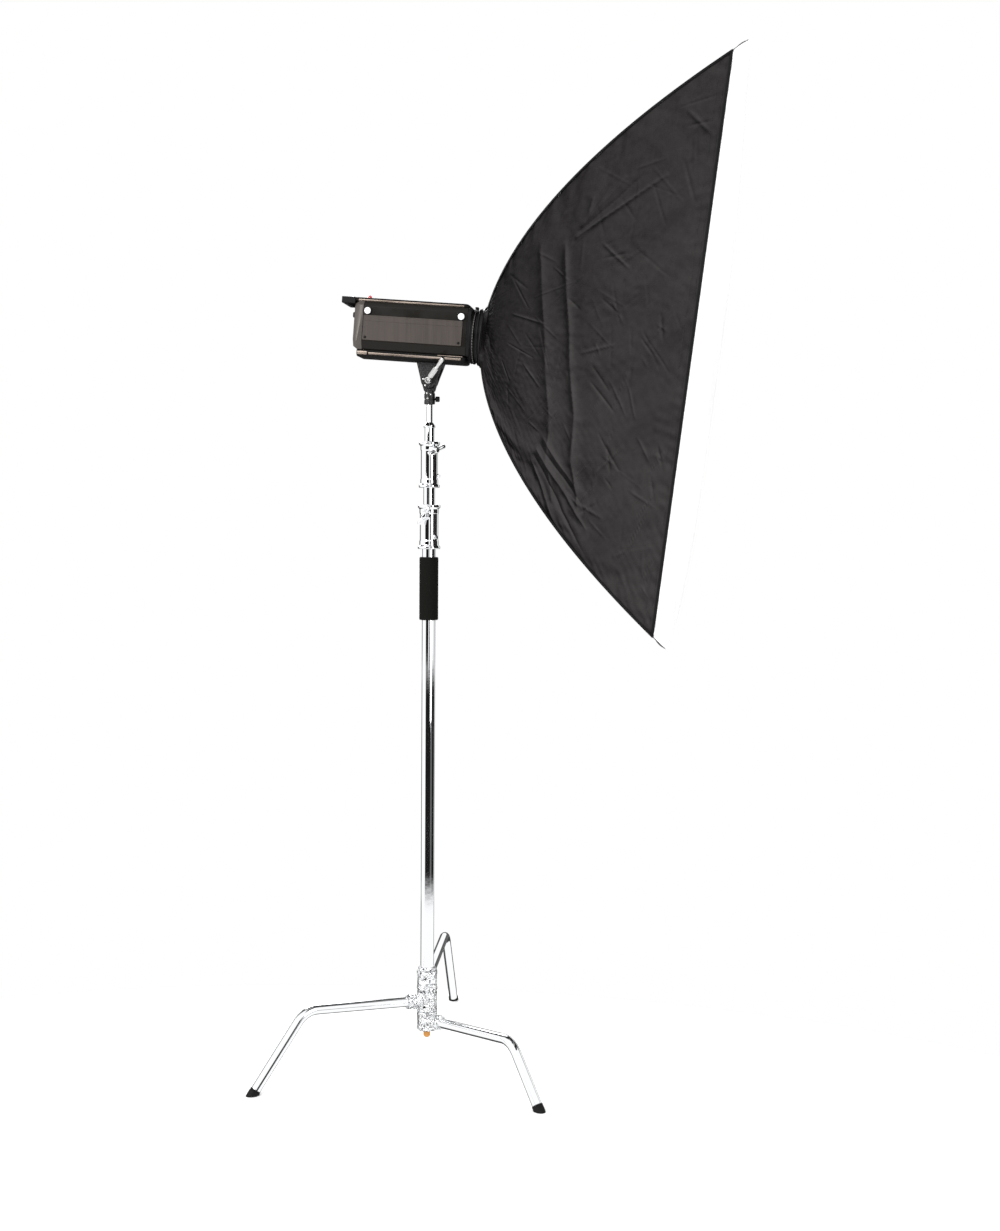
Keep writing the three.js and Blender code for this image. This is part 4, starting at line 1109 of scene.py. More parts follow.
def make_hub(chrome, cast, tan, rubber):
    """The column, its castings and lock, and the three legs."""
    column = pipe(COLUMN_R, COLUMN_INSIDE, COLUMN_BOTTOM, COLUMN_TOP)
    on_stand("column", column, "stand_base", chrome, "chrome", "column_tube")
    seat = COLUMN_BOTTOM - CLEAR
    bore = COLUMN_R + CLEAR
    waist = HUB_R - 1.4
    button = [(0, 63), (4, 63.2), (7.2, 65), (8.8, 68.5), (9, 72), (9, 79.6), (9.6, 80.6), (14.8, 81),
              (15.4, 81.6), (15.4, seat), (0, seat)]
    on_stand("end_button", turned(button, 48), "stand_base", tan, "plug_plastic", "column_end_plug")

    lock = around(LOCK_AZIMUTH, LOCK_RADIUS, 0)
    for tag, (leg, low, high, body) in HUBS.items():
        azimuth, height, slope, _ = LEGS[leg]
        collar = ring([(bore, low), (HUB_R - 2, low), (HUB_R, low + 2.5), (HUB_R, low + 9),
                       (waist, low + 11), (waist, high - 11), (HUB_R, high - 9), (HUB_R, high - 2.5),
                       (HUB_R - 2, high), (bore, high)], 1.6, ROUND)
        facing = around(azimuth, 1, slope).normalized()
        axis = aim((0, 0, height), facing)
        end, hole = SOCKET_REACH, LEG_R + 0.4
        neck = [(16.5, 22), (17, 40), (17, end - 11), (SOCKET_R - 0.6, end - 9.4), (SOCKET_R, end - 8.4),
                (SOCKET_R, end - 1.4), (SOCKET_R - 1.2, end), (hole, end), (hole, end - 10), (hole, 24),
                (16.5, 22)]
        casting = collar + turned(neck, ROUND).moved(axis)
        across = facing.cross(Vector((0, 0, 1))).normalized()
        for side in (-1, 1):  # one clamping screw on each side of the socket
            place = Vector((0, 0, height)) + facing * 44 + across * side * 16.6
            casting += socket_screw(place, across * side)
        rib = prism([(-4, -17), (4, -17), (2.6, 17), (-2.6, 17)], 17, 40, "Z")
        casting += rib.moved(aim((0, 0, (low + high) / 2), around(azimuth, 1, 0)))
        if tag == "middle":
            boss = lathe([(0, low + 5), (9, low + 5), (9, high - 0.3), (0, high - 0.3)], 1.6, 32)
            casting += boss.moved(Matrix.Translation(around(LOCK_AZIMUTH, LOCK_BOSS_RADIUS, 0)))
        if tag == "upper":
            sleeve = ring([(5.3, low + 3), (9, low + 3), (9, low + 24), (5.3, low + 24)], 1.2, 32)
            casting += sleeve.moved(Matrix.Translation(lock))
        on_stand(f"hub_{tag}", casting, body, cast, "chrome", f"hub_casting_{tag}")

    floor = HUBS["upper"][1] + 2
    top = floor + 22
    pin = lathe([(0, floor), (5, floor), (5, top + 2), (7, top + 3.5), (7, top + 8), (6.2, top + 9.4),
                 (6.2, top + 11), (7, top + 12.4), (7, top + 17), (5, top + 19), (0, top + 19)], 0.9, 40)
    coil = [lock + around(360 * k / 14, 6.1, top + 0.2 + 0.17 * k * 0.1) for k in range(29)]
    on_stand("lock_pin", pin.moved(Matrix.Translation(lock)) + tube(coil, 0.45, 6), "leg_lock", chrome,
        "chrome", "leg_lock_plunger")
    collar = ring([(bore, 242.5), (22.4, 242.5), (23, 243.5), (23, 248.5), (21, 251), (bore, 251)],
                  sides=ROUND)
    screws = [socket_screw(around(angle, 22, 247), around(angle, 1, 0), 2.6, 1.6) for angle in COLLAR_SCREWS]
    on_stand("hub_collar_ring", collar + merged(screws), "stand_base", cast, "chrome", "hub_collar")

    for leg, (azimuth, _, _, body) in LEGS.items():
        path, ground, down = leg_path(leg)
        on_stand(f"leg_tube_{leg}", tube(path, LEG_R, 40), body, chrome, "chrome", f"leg_{leg}")
        on_stand(f"foot_cap_{leg}", foot_cap(ground, down), body, rubber, "foot_rubber", f"foot_{leg}")


def foot_cap(ground, down):
    """A rubber cap on the leg's slanting end, cut level where it stands and ribbed near its top."""
    up = -down
    side = up.cross(Vector((0, 0, 1))).normalized()
    front = side.cross(up)
    sides = 40
    profile = [(FOOT_R - 3, -FOOT_R), (FOOT_R - 0.6, -FOOT_R), (FOOT_R, 1), (FOOT_R, FOOT_CAP - 6),
               (FOOT_R - 0.9, FOOT_CAP - 5.2), (FOOT_R - 0.9, FOOT_CAP - 4.2), (FOOT_R, FOOT_CAP - 3.4),
               (FOOT_R - 0.2, FOOT_CAP - 1), (FOOT_R - 1.2, FOOT_CAP), (LEG_R + 0.3, FOOT_CAP)]
    rings = []
    for radius, along in profile:
        line = []
        for k in range(sides):
            angle = 2 * math.pi * k / sides
            place = ground + up * along + (side * math.cos(angle) + front * math.sin(angle)) * radius
            if place.z < 0:
                place = place - up * (place.z / up.z)
            line.append(place)
        rings.append(line)
    return loft(rings)


def clamp(z0, z1, tube_r, outer, riser, azimuth, height):
    """A riser clamp: two flanges, a waisted barrel split down one side, ears and a threaded boss."""
    flange = outer + 4
    inner = riser + CLEAR
    low_bore = tube_r + CLEAR
    shell = ring([
        (low_bore, z0), (flange - 1, z0), (flange, z0 + 1.5), (flange, z0 + 6.5), (outer, z0 + 10),
        (outer, z0 + 20), (outer - 1.2, z0 + 23), (outer - 1.2, z1 - 24), (outer, z1 - 21), (outer, z1 - 11),
        (flange, z1 - 7.5), (flange, z1 - 2), (flange - 2, z1), (inner, z1), (inner, z0 + 12),
        (low_bore, z0 + 12),
    ], 1.6, ROUND)
    facing = around(azimuth, 1, 0)
    seat = riser + 0.4
    profile = [(0, seat), (11.5, seat), (11.5, outer + 4), (10, outer + 6), (10, outer + 8.4), (9, outer + 9),
               (4.3, outer + 9), (4.3, outer - 2), (0, outer - 2)]
    boss = lathe(profile, 1.1, 40).moved(aim((0, 0, height), facing))
    made = [shell, boss]
    middle = (z0 + z1) / 2
    ear = prism(rectangle(-5, -15, 5, 15, 3.5), 0, 5.5)
    for side in (-1, 1):  # the ears on both sides of the slit, behind the knob
        behind = azimuth + 180 + side * 13
        made.append(ear.moved(aim(around(behind, outer - 3, middle), around(behind, 1, 0))))
    slit = azimuth + 167
    for lift in (-9, 9):
        made.append(socket_screw(around(slit, outer + 2, middle + lift), around(slit, 1, 0), 3.2, 2.6))
    nut = prism(circle(6.2, 6), 0, 4.5) + turned([(0, 4.4), (3.4, 4.4), (3.4, 5.6), (2.6, 6.4), (0, 6.4)], 20)
    beside = azimuth + 62
    made.append(nut.moved(aim(around(beside, outer - 1.6, z0 + 30), around(beside, 1, 0))))
    return merged(made)


def tee_knob(outer, riser, azimuth, z, tilt):
    """A tee-handled screw: its handle is waisted in the middle and flares to round ends."""
    screw = lathe([(0, riser + 3), (4, riser + 3), (4, outer + 10.5), (8, outer + 11), (8, outer + 16),
                   (7, outer + 19), (5, outer + 20), (0, outer + 20)], 0.8, 32)
    bar = [(0, -27), (3.4, -26.4), (5, -24.4), (5.2, -21), (4.4, -13), (3.9, -6), (4.2, 0),
           (3.9, 6), (4.4, 13), (5.2, 21), (5, 24.4), (3.4, 26.4), (0, 27)]
    handle = turned(bar, 32).moved(aim((0, 0, outer + 16), around(tilt, 1, 0)))
    return (screw + handle).moved(aim((0, 0, z), around(azimuth, 1, 0)))


def make_grip(foam):
    """The foam sleeve: round ends and a slightly wavy skin."""
    low, high = GRIP_SPAN
    inner, core = COLUMN_R + 0.2, GRIP_R - GRIP_EASE
    profile = [(inner, low), (core, low)]
    profile += [(core + GRIP_EASE * math.sin(a), low + GRIP_EASE * (1 - math.cos(a)))
                for a in (0.5, 1.0, 1.57)]
    count = 80
    for k in range(1, count):
        z = low + GRIP_EASE + (high - low - 2 * GRIP_EASE) * k / count
        profile.append((GRIP_R + 0.10 * math.sin(k * 1.9) + 0.08 * math.sin(k * 0.83 + 1), z))
    profile += [(core + GRIP_EASE * math.cos(a), high + GRIP_EASE * (math.sin(a) - 1))
                for a in (0.0, 0.57, 1.07, 1.57)]
    profile += [(inner, high), (inner, low)]
    on_stand("grip_sleeve", turned(profile, ROUND), "stand_base", foam, "grip_foam", "foam_grip")


def make_risers(chrome):
    """Both clamps with their screws, both risers, and the stud."""
    tubes = COLUMN_R, RISER_LOWER_R, RISER_UPPER_R
    for tag, span, tube_r, outer, riser, knob, tilt, body in (
        ("lower", LOWER_CLAMP, tubes[0], LOWER_CLAMP_R, tubes[1], LOWER_KNOB, LOWER_TILT, "stand_base"),
        ("upper", UPPER_CLAMP, tubes[1], UPPER_CLAMP_R, tubes[2], UPPER_KNOB, UPPER_TILT, "lower_riser"),
    ):
        casting = clamp(*span, tube_r, outer, riser, *knob)
        on_stand(f"clamp_{tag}", casting, body, chrome, "chrome", f"{tag}_clamp")
        screw = tee_knob(outer, riser, *knob, tilt)
        on_stand(f"knob_{tag}", screw, f"{tag}_knob", chrome, "chrome", f"{tag}_clamp_knob")
    for tag, radius, low, high in (
        ("lower", RISER_LOWER_R, RISER_LOWER_BOTTOM, UPPER_CLAMP[0] + 11),
        ("upper", RISER_UPPER_R, RISER_UPPER_BOTTOM, CAP_Z - CLEAR),
    ):
        riser = pipe(radius, radius - RISER_WALL, low, high)
        on_stand(f"riser_{tag}", riser, f"{tag}_riser", chrome, "chrome", f"riser_{tag}_tube")
    inside = RISER_UPPER_R - RISER_WALL - 0.3
    pivot = PIVOT.z / MM
    flange = [(0, -40), (inside, -40), (inside, 0), (14.4, 0), (15, 0.8), (15, 5.4), (14.2, 6.4),
              (10.4, 11.4), (8.4, 13.4), (8, 15)]
    neck = [(8, -46), (7.6, -45), (6.5, -44), (6.5, -37), (7.6, -36), (8, -35), (8, -29), (7.4, -27.6),
            (6.5, -27), (0, -27)]
    stud = [(r, CAP_Z + z) for r, z in flange] + [(r, pivot + z) for r, z in neck]
    on_stand("stud", turned(stud, 48), "upper_riser", chrome, "chrome", "stand_stud")


# ---------------------------------------------------------------- tilt bracket

KNUCKLE = Matrix.Translation(PIVOT) @ Matrix.Scale(MM, 4)
BOSS_R = 20
CHEEK_IN, CHEEK_OUT = 12, 20
LEVER_ANGLE = math.radians(48 + 4.2)
LEVER_SPLAY = 0.58


def arc_points(radius, start, stop, step=8):
    count = round(abs(stop - start) / step)
    turns = [math.radians(start + (stop - start) * k / count) for k in range(count + 1)]
    return [(radius * math.cos(a), radius * math.sin(a)) for a in turns]


def knurled(radius, low, high, ribs=26, depth=0.35):
    """A short cylinder about Z with grooves along it."""
    outline = [(u, v) if k % 2 else (u * (1 - depth / radius), v * (1 - depth / radius))
               for k, (u, v) in enumerate(circle(radius, 2 * ribs))]
    return prism(outline, low, high)


def make_bracket(hammered, satin, black):
    """The knuckle with its socket and knob, the cheeks under the lamp, the tilt bolt and its lever."""
    tongue_line = [*arc_points(BOSS_R, -20, 200), (-13, -27), (13, -27)]
    tongue = prism(tongue_line, -CHEEK_IN + 0.4, CHEEK_IN - 0.4, "Y")
    socket = ring([(8.3, -60), (13, -60), (14, -58.6), (14, -50), (13.2, -48.6), (13.2, -45.4), (14, -44),
                   (14, -34), (12.6, -30), (12.6, -26.2), (8.3, -26.2)], 0.8, 48)
    put("swivel_knuckle", tongue + socket, KNUCKLE, "swivel", hammered, "hammered_paint", "tilt_knuckle",
        bevel=1.4, segments=3)
    studs = [screw_head((x, -CHEEK_IN - 1.6, z), (0, -1, 0), 2.3, 1.6)
             for x, z in ((-4.5, -33), (5, -36), (-3, -46))]
    put("socket_studs", merged(studs), KNUCKLE, "swivel", satin, "satin_metal")
    knob_axis = aim((0, 0, -47), around(10, 1, 0))
    screw = turned([(0, 9), (3, 9), (3, 16), (0, 16)], 20)
    grip = knurled(7, 15.6, 24.6, 18, 0.6) + lathe([(5.6, 14.9), (6.6, 15.7), (0, 15.7)], 0.1, 36)
    grip = grip + lathe([(0, 24.5), (6, 24.5), (6, 25.6), (5, 26), (0, 26)], 0.4, 36)
    put("swivel_knob_grip", (screw + grip).moved(knob_axis), KNUCKLE, "swivel_knob", black, "black_plastic",
        "socket_knob", bevel=0.25, segments=1)

    top = 45.7
    outline = [*arc_points(BOSS_R, 200, 340), (23, 8), (35, top), (-35, top), (-23, 8)]
    cheeks = merged([prism(outline, low, high, "Y")
                     for low, high in ((-CHEEK_OUT, -CHEEK_IN), (CHEEK_IN, CHEEK_OUT))])
    bridge_line = [(-32.2, 32), (32.2, 32), (34.9, top - 0.1), (-34.9, top - 0.1)]
    bridge = prism(bridge_line, -CHEEK_IN - 1, CHEEK_IN + 1, "Y")
    rib_line = [(-20, 12), (20, 12), (29, 34), (-29, 34)]
    ribs = [prism(rib_line, side * CHEEK_OUT - 0.2, side * CHEEK_OUT + 0.9, "Y") for side in (-1, 1)]
    on_lamp("bracket_cheeks", cheeks + bridge, hammered, "hammered_paint", "tilt_bracket",
        bevel=1.5, segments=3)
    on_lamp("bracket_ribs", merged(ribs), hammered, "hammered_paint", bevel=0.8)
    studs = [screw_head((x, -CHEEK_OUT - 0.2, z), (0, -1, 0), 2.6, 1.8) for x, z in ((-13, 2), (-7, -14))]
    on_lamp("bracket_studs", merged(studs), satin, "satin_metal")

    far = CHEEK_OUT + 0.3
    axis = aim((0, 0, 0), (0, 1, 0))
    hexagon = rounded(circle(8, 6), 0.6, 2, ends=True)
    washer = lathe([(0, far), (9.4, far), (9.4, far + 1.4), (0, far + 1.4)], 0.4, 40)
    bolt = turned([(0, -far - 7), (3.4, -far - 7), (4, -far - 6.2), (4, far + 1), (0, far + 1)], 32)
    crown = lathe([(0, far + 5.9), (6, far + 5.9), (5, far + 6.6), (0, far + 6.6)], 0.2, 32)
    head = prism(hexagon, far + 1.4, far + 6) + crown
    on_lamp("pivot_bolt", (bolt + washer + head).moved(axis), satin, "satin_metal", "tilt_bolt",
        bevel=0.4)

    hub_line = [(4.3, 0), (8.6, 0), (9, 1), (9, 3), (7.8, 4), (7.8, 11), (6.8, 12), (4.3, 12)]
    hub = ring([(r, far + z) for r, z in hub_line], 0.4, 40).moved(aim((0, 0, 0), (0, -1, 0)))
    rise = Vector((math.cos(LEVER_ANGLE), -LEVER_SPLAY, math.sin(LEVER_ANGLE)))
    arm = turned([(0, 0), (4.6, 0), (4.6, 8), (6.2, 11), (6.6, 13)], 32) + knurled(6.9, 13, 44, 12, 0.9)
    arm += turned([(5.6, 44), (4.6, 47), (4.6, 52), (5.2, 60), (5.8, 72), (5.4, 77), (4.2, 79.6),
                   (0, 80)], 32)
    lever = hub + arm.moved(aim((0, -far - 7, 0), rise))
    put("tilt_handle", lever, HEAD, "clamp_lever", satin, "satin_metal", "tilt_lever")


# ---------------------------------------------------------------- flash head

BODY_REAR, COVER_FRONT, BODY_FRONT = -197, -173, 95
HALF_WIDTH = 62
BODY_LINE = [(-50, -55), (50, -55), (62, -36), (62, 56), (52, 67), (-52, 67), (-62, 56), (-62, -36)]
BODY_MIDDLE = 6


def body_line(scale=1.0, shrink=0.0, radius=5.0):
    """The body's section as (y, z) with its corners rounded."""
    outline = []
    for y, w in BODY_LINE:
        low = w - BODY_MIDDLE
        outline.append((y * scale - math.copysign(shrink, y),
                        AXIS_W + BODY_MIDDLE + low * scale - math.copysign(shrink, low)))
    return rounded(outline, radius, 4, ends=True)


def shell(outer, inner, low, high):
    """A hollow sleeve along X between two outlines with as many points."""
    rings = [[(x, y, z) for y, z in line] for x, line in
             ((low, inner), (low, outer), (high, outer), (high, inner))]
    return loft(rings, closed=True)


def screw_head(place, facing, radius=3.4, tall=1.8):
    """The head of a domed screw."""
    dome = turned([(0, -0.5), (radius, -0.5), (radius, tall * 0.4), (radius * 0.85, tall * 0.8),
                   (radius * 0.55, tall), (0, tall)], 24)
    return dome.moved(aim(place, facing))


def softened(node, name, body, paint, bevel, more=None, segments=2):
    """A node's own shape with its flat faces merged and its edges rounded, and more shapes added."""
    mesh = bpy.data.meshes.new(name)
    work = bmesh.new()
    work.from_mesh(frame["nodes"][node].data)
    bmesh.ops.remove_doubles(work, verts=work.verts, dist=1e-6)
    bmesh.ops.dissolve_limit(work, angle_limit=math.radians(1.5), verts=work.verts, edges=work.edges)
    work.to_mesh(mesh)
    work.free()
    back = HEAD.inverted()
    own = Shape([back @ v.co for v in mesh.vertices], [tuple(p.vertices) for p in mesh.polygons])
    bpy.data.meshes.remove(mesh)
    whole = own + more if more else own
    thing = piece(name, whole, HEAD, body, paint, bevel=bevel, segments=segments)
    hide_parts(node)
    return thing


def make_body(paints):
    """The casing with its cover, side plates, caps, rails and handle."""
    black = paints["black_plastic"]
    casing = shell(body_line(), body_line(1, 2.5), COVER_FRONT + CLEAR, BODY_FRONT)
    band = shell(body_line(1, -0.7), body_line(1, 1), BODY_FRONT - 9, BODY_FRONT)
    on_lamp("casing", casing + band, paints["body_dark"], "body_metal", "lamp_casing", bevel=0.5)
    # a light grey band round the casing's front: a painted highlight along its front edge
    edge = shell(body_line(1, -1.3), body_line(1, -0.4), BODY_FRONT - 3, BODY_FRONT - 1.2)
    on_lamp("casing_highlight_band", edge, paints["highlight_grey"], "body_metal")

    softened("rear_cover", "casing_back", "flash_head", paints["rear_cover"], 2.2,
             rear_details(), 3)
    for tag, side in (("left", 1), ("right", -1)):
        face = side * HALF_WIDTH
        low, high = COVER_FRONT + 2, BODY_FRONT - 11
        outline = rectangle(low, AXIS_W - 32, high, AXIS_W + 31, 3)
        plate = prism(outline, face + side * 0.3, face + side * 2, "Y")
        step = rectangle(low + 3, AXIS_W + 16, high - 3, AXIS_W + 28, 2)
        ledge = prism(step, face + side * 1.5, face + side * 2.6, "Y")
        on_lamp(f"side_plate_{tag}", plate + ledge, paints["side_metal"], "side_panel_metal",
                f"side_panel_{tag}", bevel=0.5)
        facing = (0, side, 0)
        screws = [screw_head((x, face + side * 2, AXIS_W - 25), facing) for x in (low + 7, high - 7)]
        on_lamp(f"side_screws_{tag}", merged(screws), black, "black_plastic")
        rim = ring([(8.4, -0.5), (11.2, -0.5), (11.2, 2.4), (8.4, 2.4)], 0.6, 40)
        disc = turned([(0, 0), (8.6, 0), (8.6, 1.4), (7, 2.6), (3, 3.2), (0, 3.3)], 40)
        places = [aim((x, face + side * 0.2, AXIS_W + 42), facing) for x in (low + 9, high - 5)]
        rims, discs = ([cap.moved(where) for where in places] for cap in (rim, disc))
        on_lamp(f"cap_rims_{tag}", merged(rims), black, "black_plastic")
        on_lamp(f"cap_discs_{tag}", merged(discs), paints["white_plastic"], "black_plastic")

    make_rails(paints)
    softened("rear_handle", "carry_handle", "flash_head", black, 3.0, None, 4)
    foot = ring([(0.6, 0), (3.6, 0), (3.6, 1.6), (0.6, 1.6)], 0.4, 24)
    feet = [foot.moved(aim((-205, y, AXIS_W + 76), (0, 0, 1))) for y in (-44, 44)]
    on_lamp("handle_screws", merged(feet), paints["chrome"], "chrome")


def rail(low, high, section, x_bevel):
    """A bar along X with a section of (y, z); its front end is drawn in."""
    rings = []
    middle = sum(z for _, z in section) / len(section)
    for back, share in ((high - low, 0), (x_bevel, 0), (0.4 * x_bevel, 0.12), (0, 0.5)):
        x, inset = high - back, share * x_bevel
        rings.append([(x, y - math.copysign(inset, y), z - math.copysign(inset, z - middle) * 0.6)
                      for y, z in section])
    return loft(rings)


def make_rails(paints):
    """The rails above and below the casing: dark, with bright metal strips along each side that are partly trim
    and partly painted highlights.
    """
    dark, trim_and_highlight_paint = paints["rail_dark"], paints["rail_metal"]
    roof = [(-46, 67.3), (46, 67.3), (46, 72.5), (41, 77), (-41, 77), (-46, 72.5)]
    section = rounded([(y, AXIS_W + w) for y, w in roof], 2.2, 3, ends=True)
    on_lamp("roof_rail", rail(BODY_REAR - 1, 95, section, 9), dark, "black_plastic", "top_rail",
        bevel=0.8)
    belly = [(-50, -55.3), (50, -55.3), (50, -67), (43, -72), (-43, -72), (-50, -67)]
    section = rounded([(y, AXIS_W + w) for y, w in belly], 3.5, 4, ends=True)
    pad = block((-40, -24, AXIS_W - 73.2), (40, 24, AXIS_W - 71))
    on_lamp("floor_rail", rail(-186, 94, section, 9) + pad, paints["belly"], "rail_metal",
        "bottom_rail", bevel=0.8)
    # Bright metal strips along the rails: the roof line and the long floor line are partly trim and partly painted
    # highlights on the rails' rounded edges; the wide short piece at the rear and the thin line near the front are
    # painted highlights.
    roof_trim_and_highlight, floor_trim_and_highlights = [], []
    for side in (-1, 1):
        for trim, y, w, places, width, height in (
            (roof_trim_and_highlight, 46, 70.2, (-190, -100, 50, 82), 3.8, 1.0),
            (floor_trim_and_highlights, 50, -64, (-155, -100, 50, 84), 5.0, 0.9),
            (floor_trim_and_highlights, 50, -63.5, (-184, -178, -164, -159), 8.5, 1.1),
            (floor_trim_and_highlights, 50, -57.5, (24, 40, 78, 88), 1.8, 0.9),
        ):
            line = [Vector((x, side * y, AXIS_W + w)) for x in places]
            trim.append(strip(line, [Vector((0, side, 0))] * len(line), width, height))
    on_lamp("roof_trim_and_highlight", merged(roof_trim_and_highlight), trim_and_highlight_paint, "rail_metal")
    on_lamp("floor_trim_and_highlights", merged(floor_trim_and_highlights), trim_and_highlight_paint, "rail_metal")


def rear_details():
    """Raised rims round the dials' seats."""
    rim = ring([(9, -1), (10.6, -1), (10.6, 1.0), (9, 1.0)], 0.4, 40)
    return merged([rim.moved(aim((BODY_REAR, y, AXIS_W + 33), (-1, 0, 0))) for y in (-26, 26)])


def make_controls(paints):
    """The dials, the test button, the lamps, the sensor, the rocker and the mains inlet."""
    black, white = paints["black_plastic"], paints["white_plastic"]
    back = BODY_REAR - 0.3
    for name, node, y, body in (("dial_power", "power_dial", -26, "flash_power_knob"),
                                ("dial_lamp", "modelling_dial", 26, "model_lamp_knob")):
        where = aim((back, y, AXIS_W + 33), (-1, 0, 0))
        skirt = turned([(0, 0), (7.6, 0), (8, 0.5), (8, 1.6), (7.4, 2.2), (0, 2.2)], 40)
        grip = knurled(7, 2, 8.2, 20, 0.45)
        cap = turned([(0, 8.1), (6.4, 8.1), (6.2, 8.8), (5.4, 9), (0, 9)], 40)
        dial = (skirt + grip + cap).moved(where)
        put(name, dial, HEAD, body, black, "black_plastic", node, bevel=0.15, segments=1)
        mark = block((-0.5, 2.2, 8.8), (0.5, 6.2, 9.4)).moved(where @ spun(150))
        put(f"{name}_mark", mark, HEAD, body, white, "black_plastic")
        tick = block((-0.35, 11.4, -0.2), (0.35, 13.4, 0.12))
        ticks = [tick.moved(where @ spun(-135 + 27 * k)) for k in range(11)]
        on_lamp(f"{name}_ticks", merged(ticks), white, "black_plastic")
    where = aim((BODY_REAR, -32, AXIS_W - 26), (-1, 0, 0))
    key = lathe([(0, -5), (5.5, -5), (5.5, -3.3), (4, -3.3), (4, 3), (3.2, 4), (0, 4)], 0.5, 32)
    put("test_key_cap", key.moved(where), HEAD, "test_key", paints["teal"], "button_teal", "test_button")
    bezel = ring([(4.6, -0.2), (6.6, -0.2), (6.6, 0.9), (4.6, 0.9)], 0.3, 36).moved(where)
    lamp = turned([(0, -0.2), (2.2, -0.2), (2.2, 0.6), (1.4, 1.4), (0, 1.6)], 20)
    lamps = [lamp.moved(aim((BODY_REAR, y, AXIS_W + 10), (-1, 0, 0))) for y in (-36, 36)]
    on_lamp("key_bezel", bezel, black, "black_plastic")
    on_lamp("ready_lamps", merged(lamps), paints["red_dome"], "sensor_red")
    dome = [(0, 0), (5.5, 0), (5.5, 1.6), (5.2, 3.4)]
    dome += [(5.2 * math.cos(a), 3.4 + 7.6 * math.sin(a)) for a in (0.3, 0.6, 0.9, 1.2, 1.4)] + [(0, 11)]
    where = Matrix.Translation((-172, 0, AXIS_W + 77.3))
    on_lamp("sensor_dome", turned(dome, 36).moved(where), paints["red_dome"], "sensor_red", "slave_sensor")
    base = ring([(5.7, -0.3), (7.4, -0.3), (7.4, 1.2), (5.7, 1.2)], 0.4, 36).moved(where)
    on_lamp("sensor_ring", base, black, "black_plastic")

    rocker_line = [(-3, -42), (8, -42), (8, -24), (0, -24), (-0.6, -30), (-1.2, -35)]
    rocker = prism([(BODY_REAR + x, AXIS_W + w) for x, w in rocker_line], -16, -4, "Y")
    put("rocker_key", rocker, HEAD, "mains_rocker", black, "black_plastic", "power_switch", bevel=0.6)
    dashes = block((BODY_REAR - 1.9, -11.5, AXIS_W - 37.4), (BODY_REAR - 1.0, -8.5, AXIS_W - 36.8))
    put("rocker_mark", dashes, HEAD, "mains_rocker", white, "black_plastic")
    softened("mains_inlet", "inlet_socket", "flash_head", black, 0.6)
    rim = rectangle(12.6, AXIS_W - 43, 43.4, AXIS_W - 18.4, 2)
    hole = rectangle(14.2, AXIS_W - 41.6, 41.8, AXIS_W - 19.9, 2)
    frame_round = shell(rim, hole, BODY_REAR - 1.2, BODY_REAR + 0.4)
    on_lamp("inlet_rim", frame_round, black, "black_plastic", bevel=0.3)


def make_front(paints):
    """The collar with its ribs and latch, and the adapter inside it."""
    black = paints["black_plastic"]
    flange_line = body_line(1, 0.5)
    axis = aim((0, 0, AXIS_W), (1, 0, 0))
    profile = [(52, 95.3), (60.5, 95.3), (60.5, 103), (69, 103), (69, 105.5), (67.4, 106.6), (67.4, 108.4),
               (69, 109.5), (69, 112.6), (67.6, 114), (52, 114)]
    barrel = ring(profile, 0.6, 96).moved(axis)
    turns = [math.atan2(z - AXIS_W, y) for y, z in flange_line]
    inner = [(max(-57, min(57, 60 * math.cos(a))), AXIS_W + max(-51, 60 * math.sin(a))) for a in turns]
    flange = shell(flange_line, inner, BODY_FRONT + 0.3, 104)
    # a light grey lip round the collar's front: a painted highlight on its edge
    lip = ring([(67.5, 111), (69.6, 111), (69.6, 112.4), (67.5, 112.4)], 0.3, 96).moved(axis)
    on_lamp("collar_highlight_ring", lip, paints["highlight_grey"], "black_plastic")
    on_lamp("front_collar", barrel + flange, black, "black_plastic", "front_bezel", bevel=0.6)
    tooth = block((-1.1, 67.2, 109.6), (1.1, 69.7, 112.8))
    teeth = [tooth.moved(axis @ spun(6 * k)) for k in range(60)]
    on_lamp("collar_ribs", merged(teeth), black, "black_plastic")
    softened("release_latch", "latch_button", "bayonet_latch", black, 1.0, None, 3)
    adapter = ring([(47, 106), (50, 106), (50, 114.3), (64, 114.3), (64, 119), (50, 119), (50, 139),
                    (47, 139)], 0.5, 96)
    put("adapter_ring", adapter.moved(axis), HEAD, "softbox", paints["ring_black"], "ring_metal",
        "bayonet_adapter")


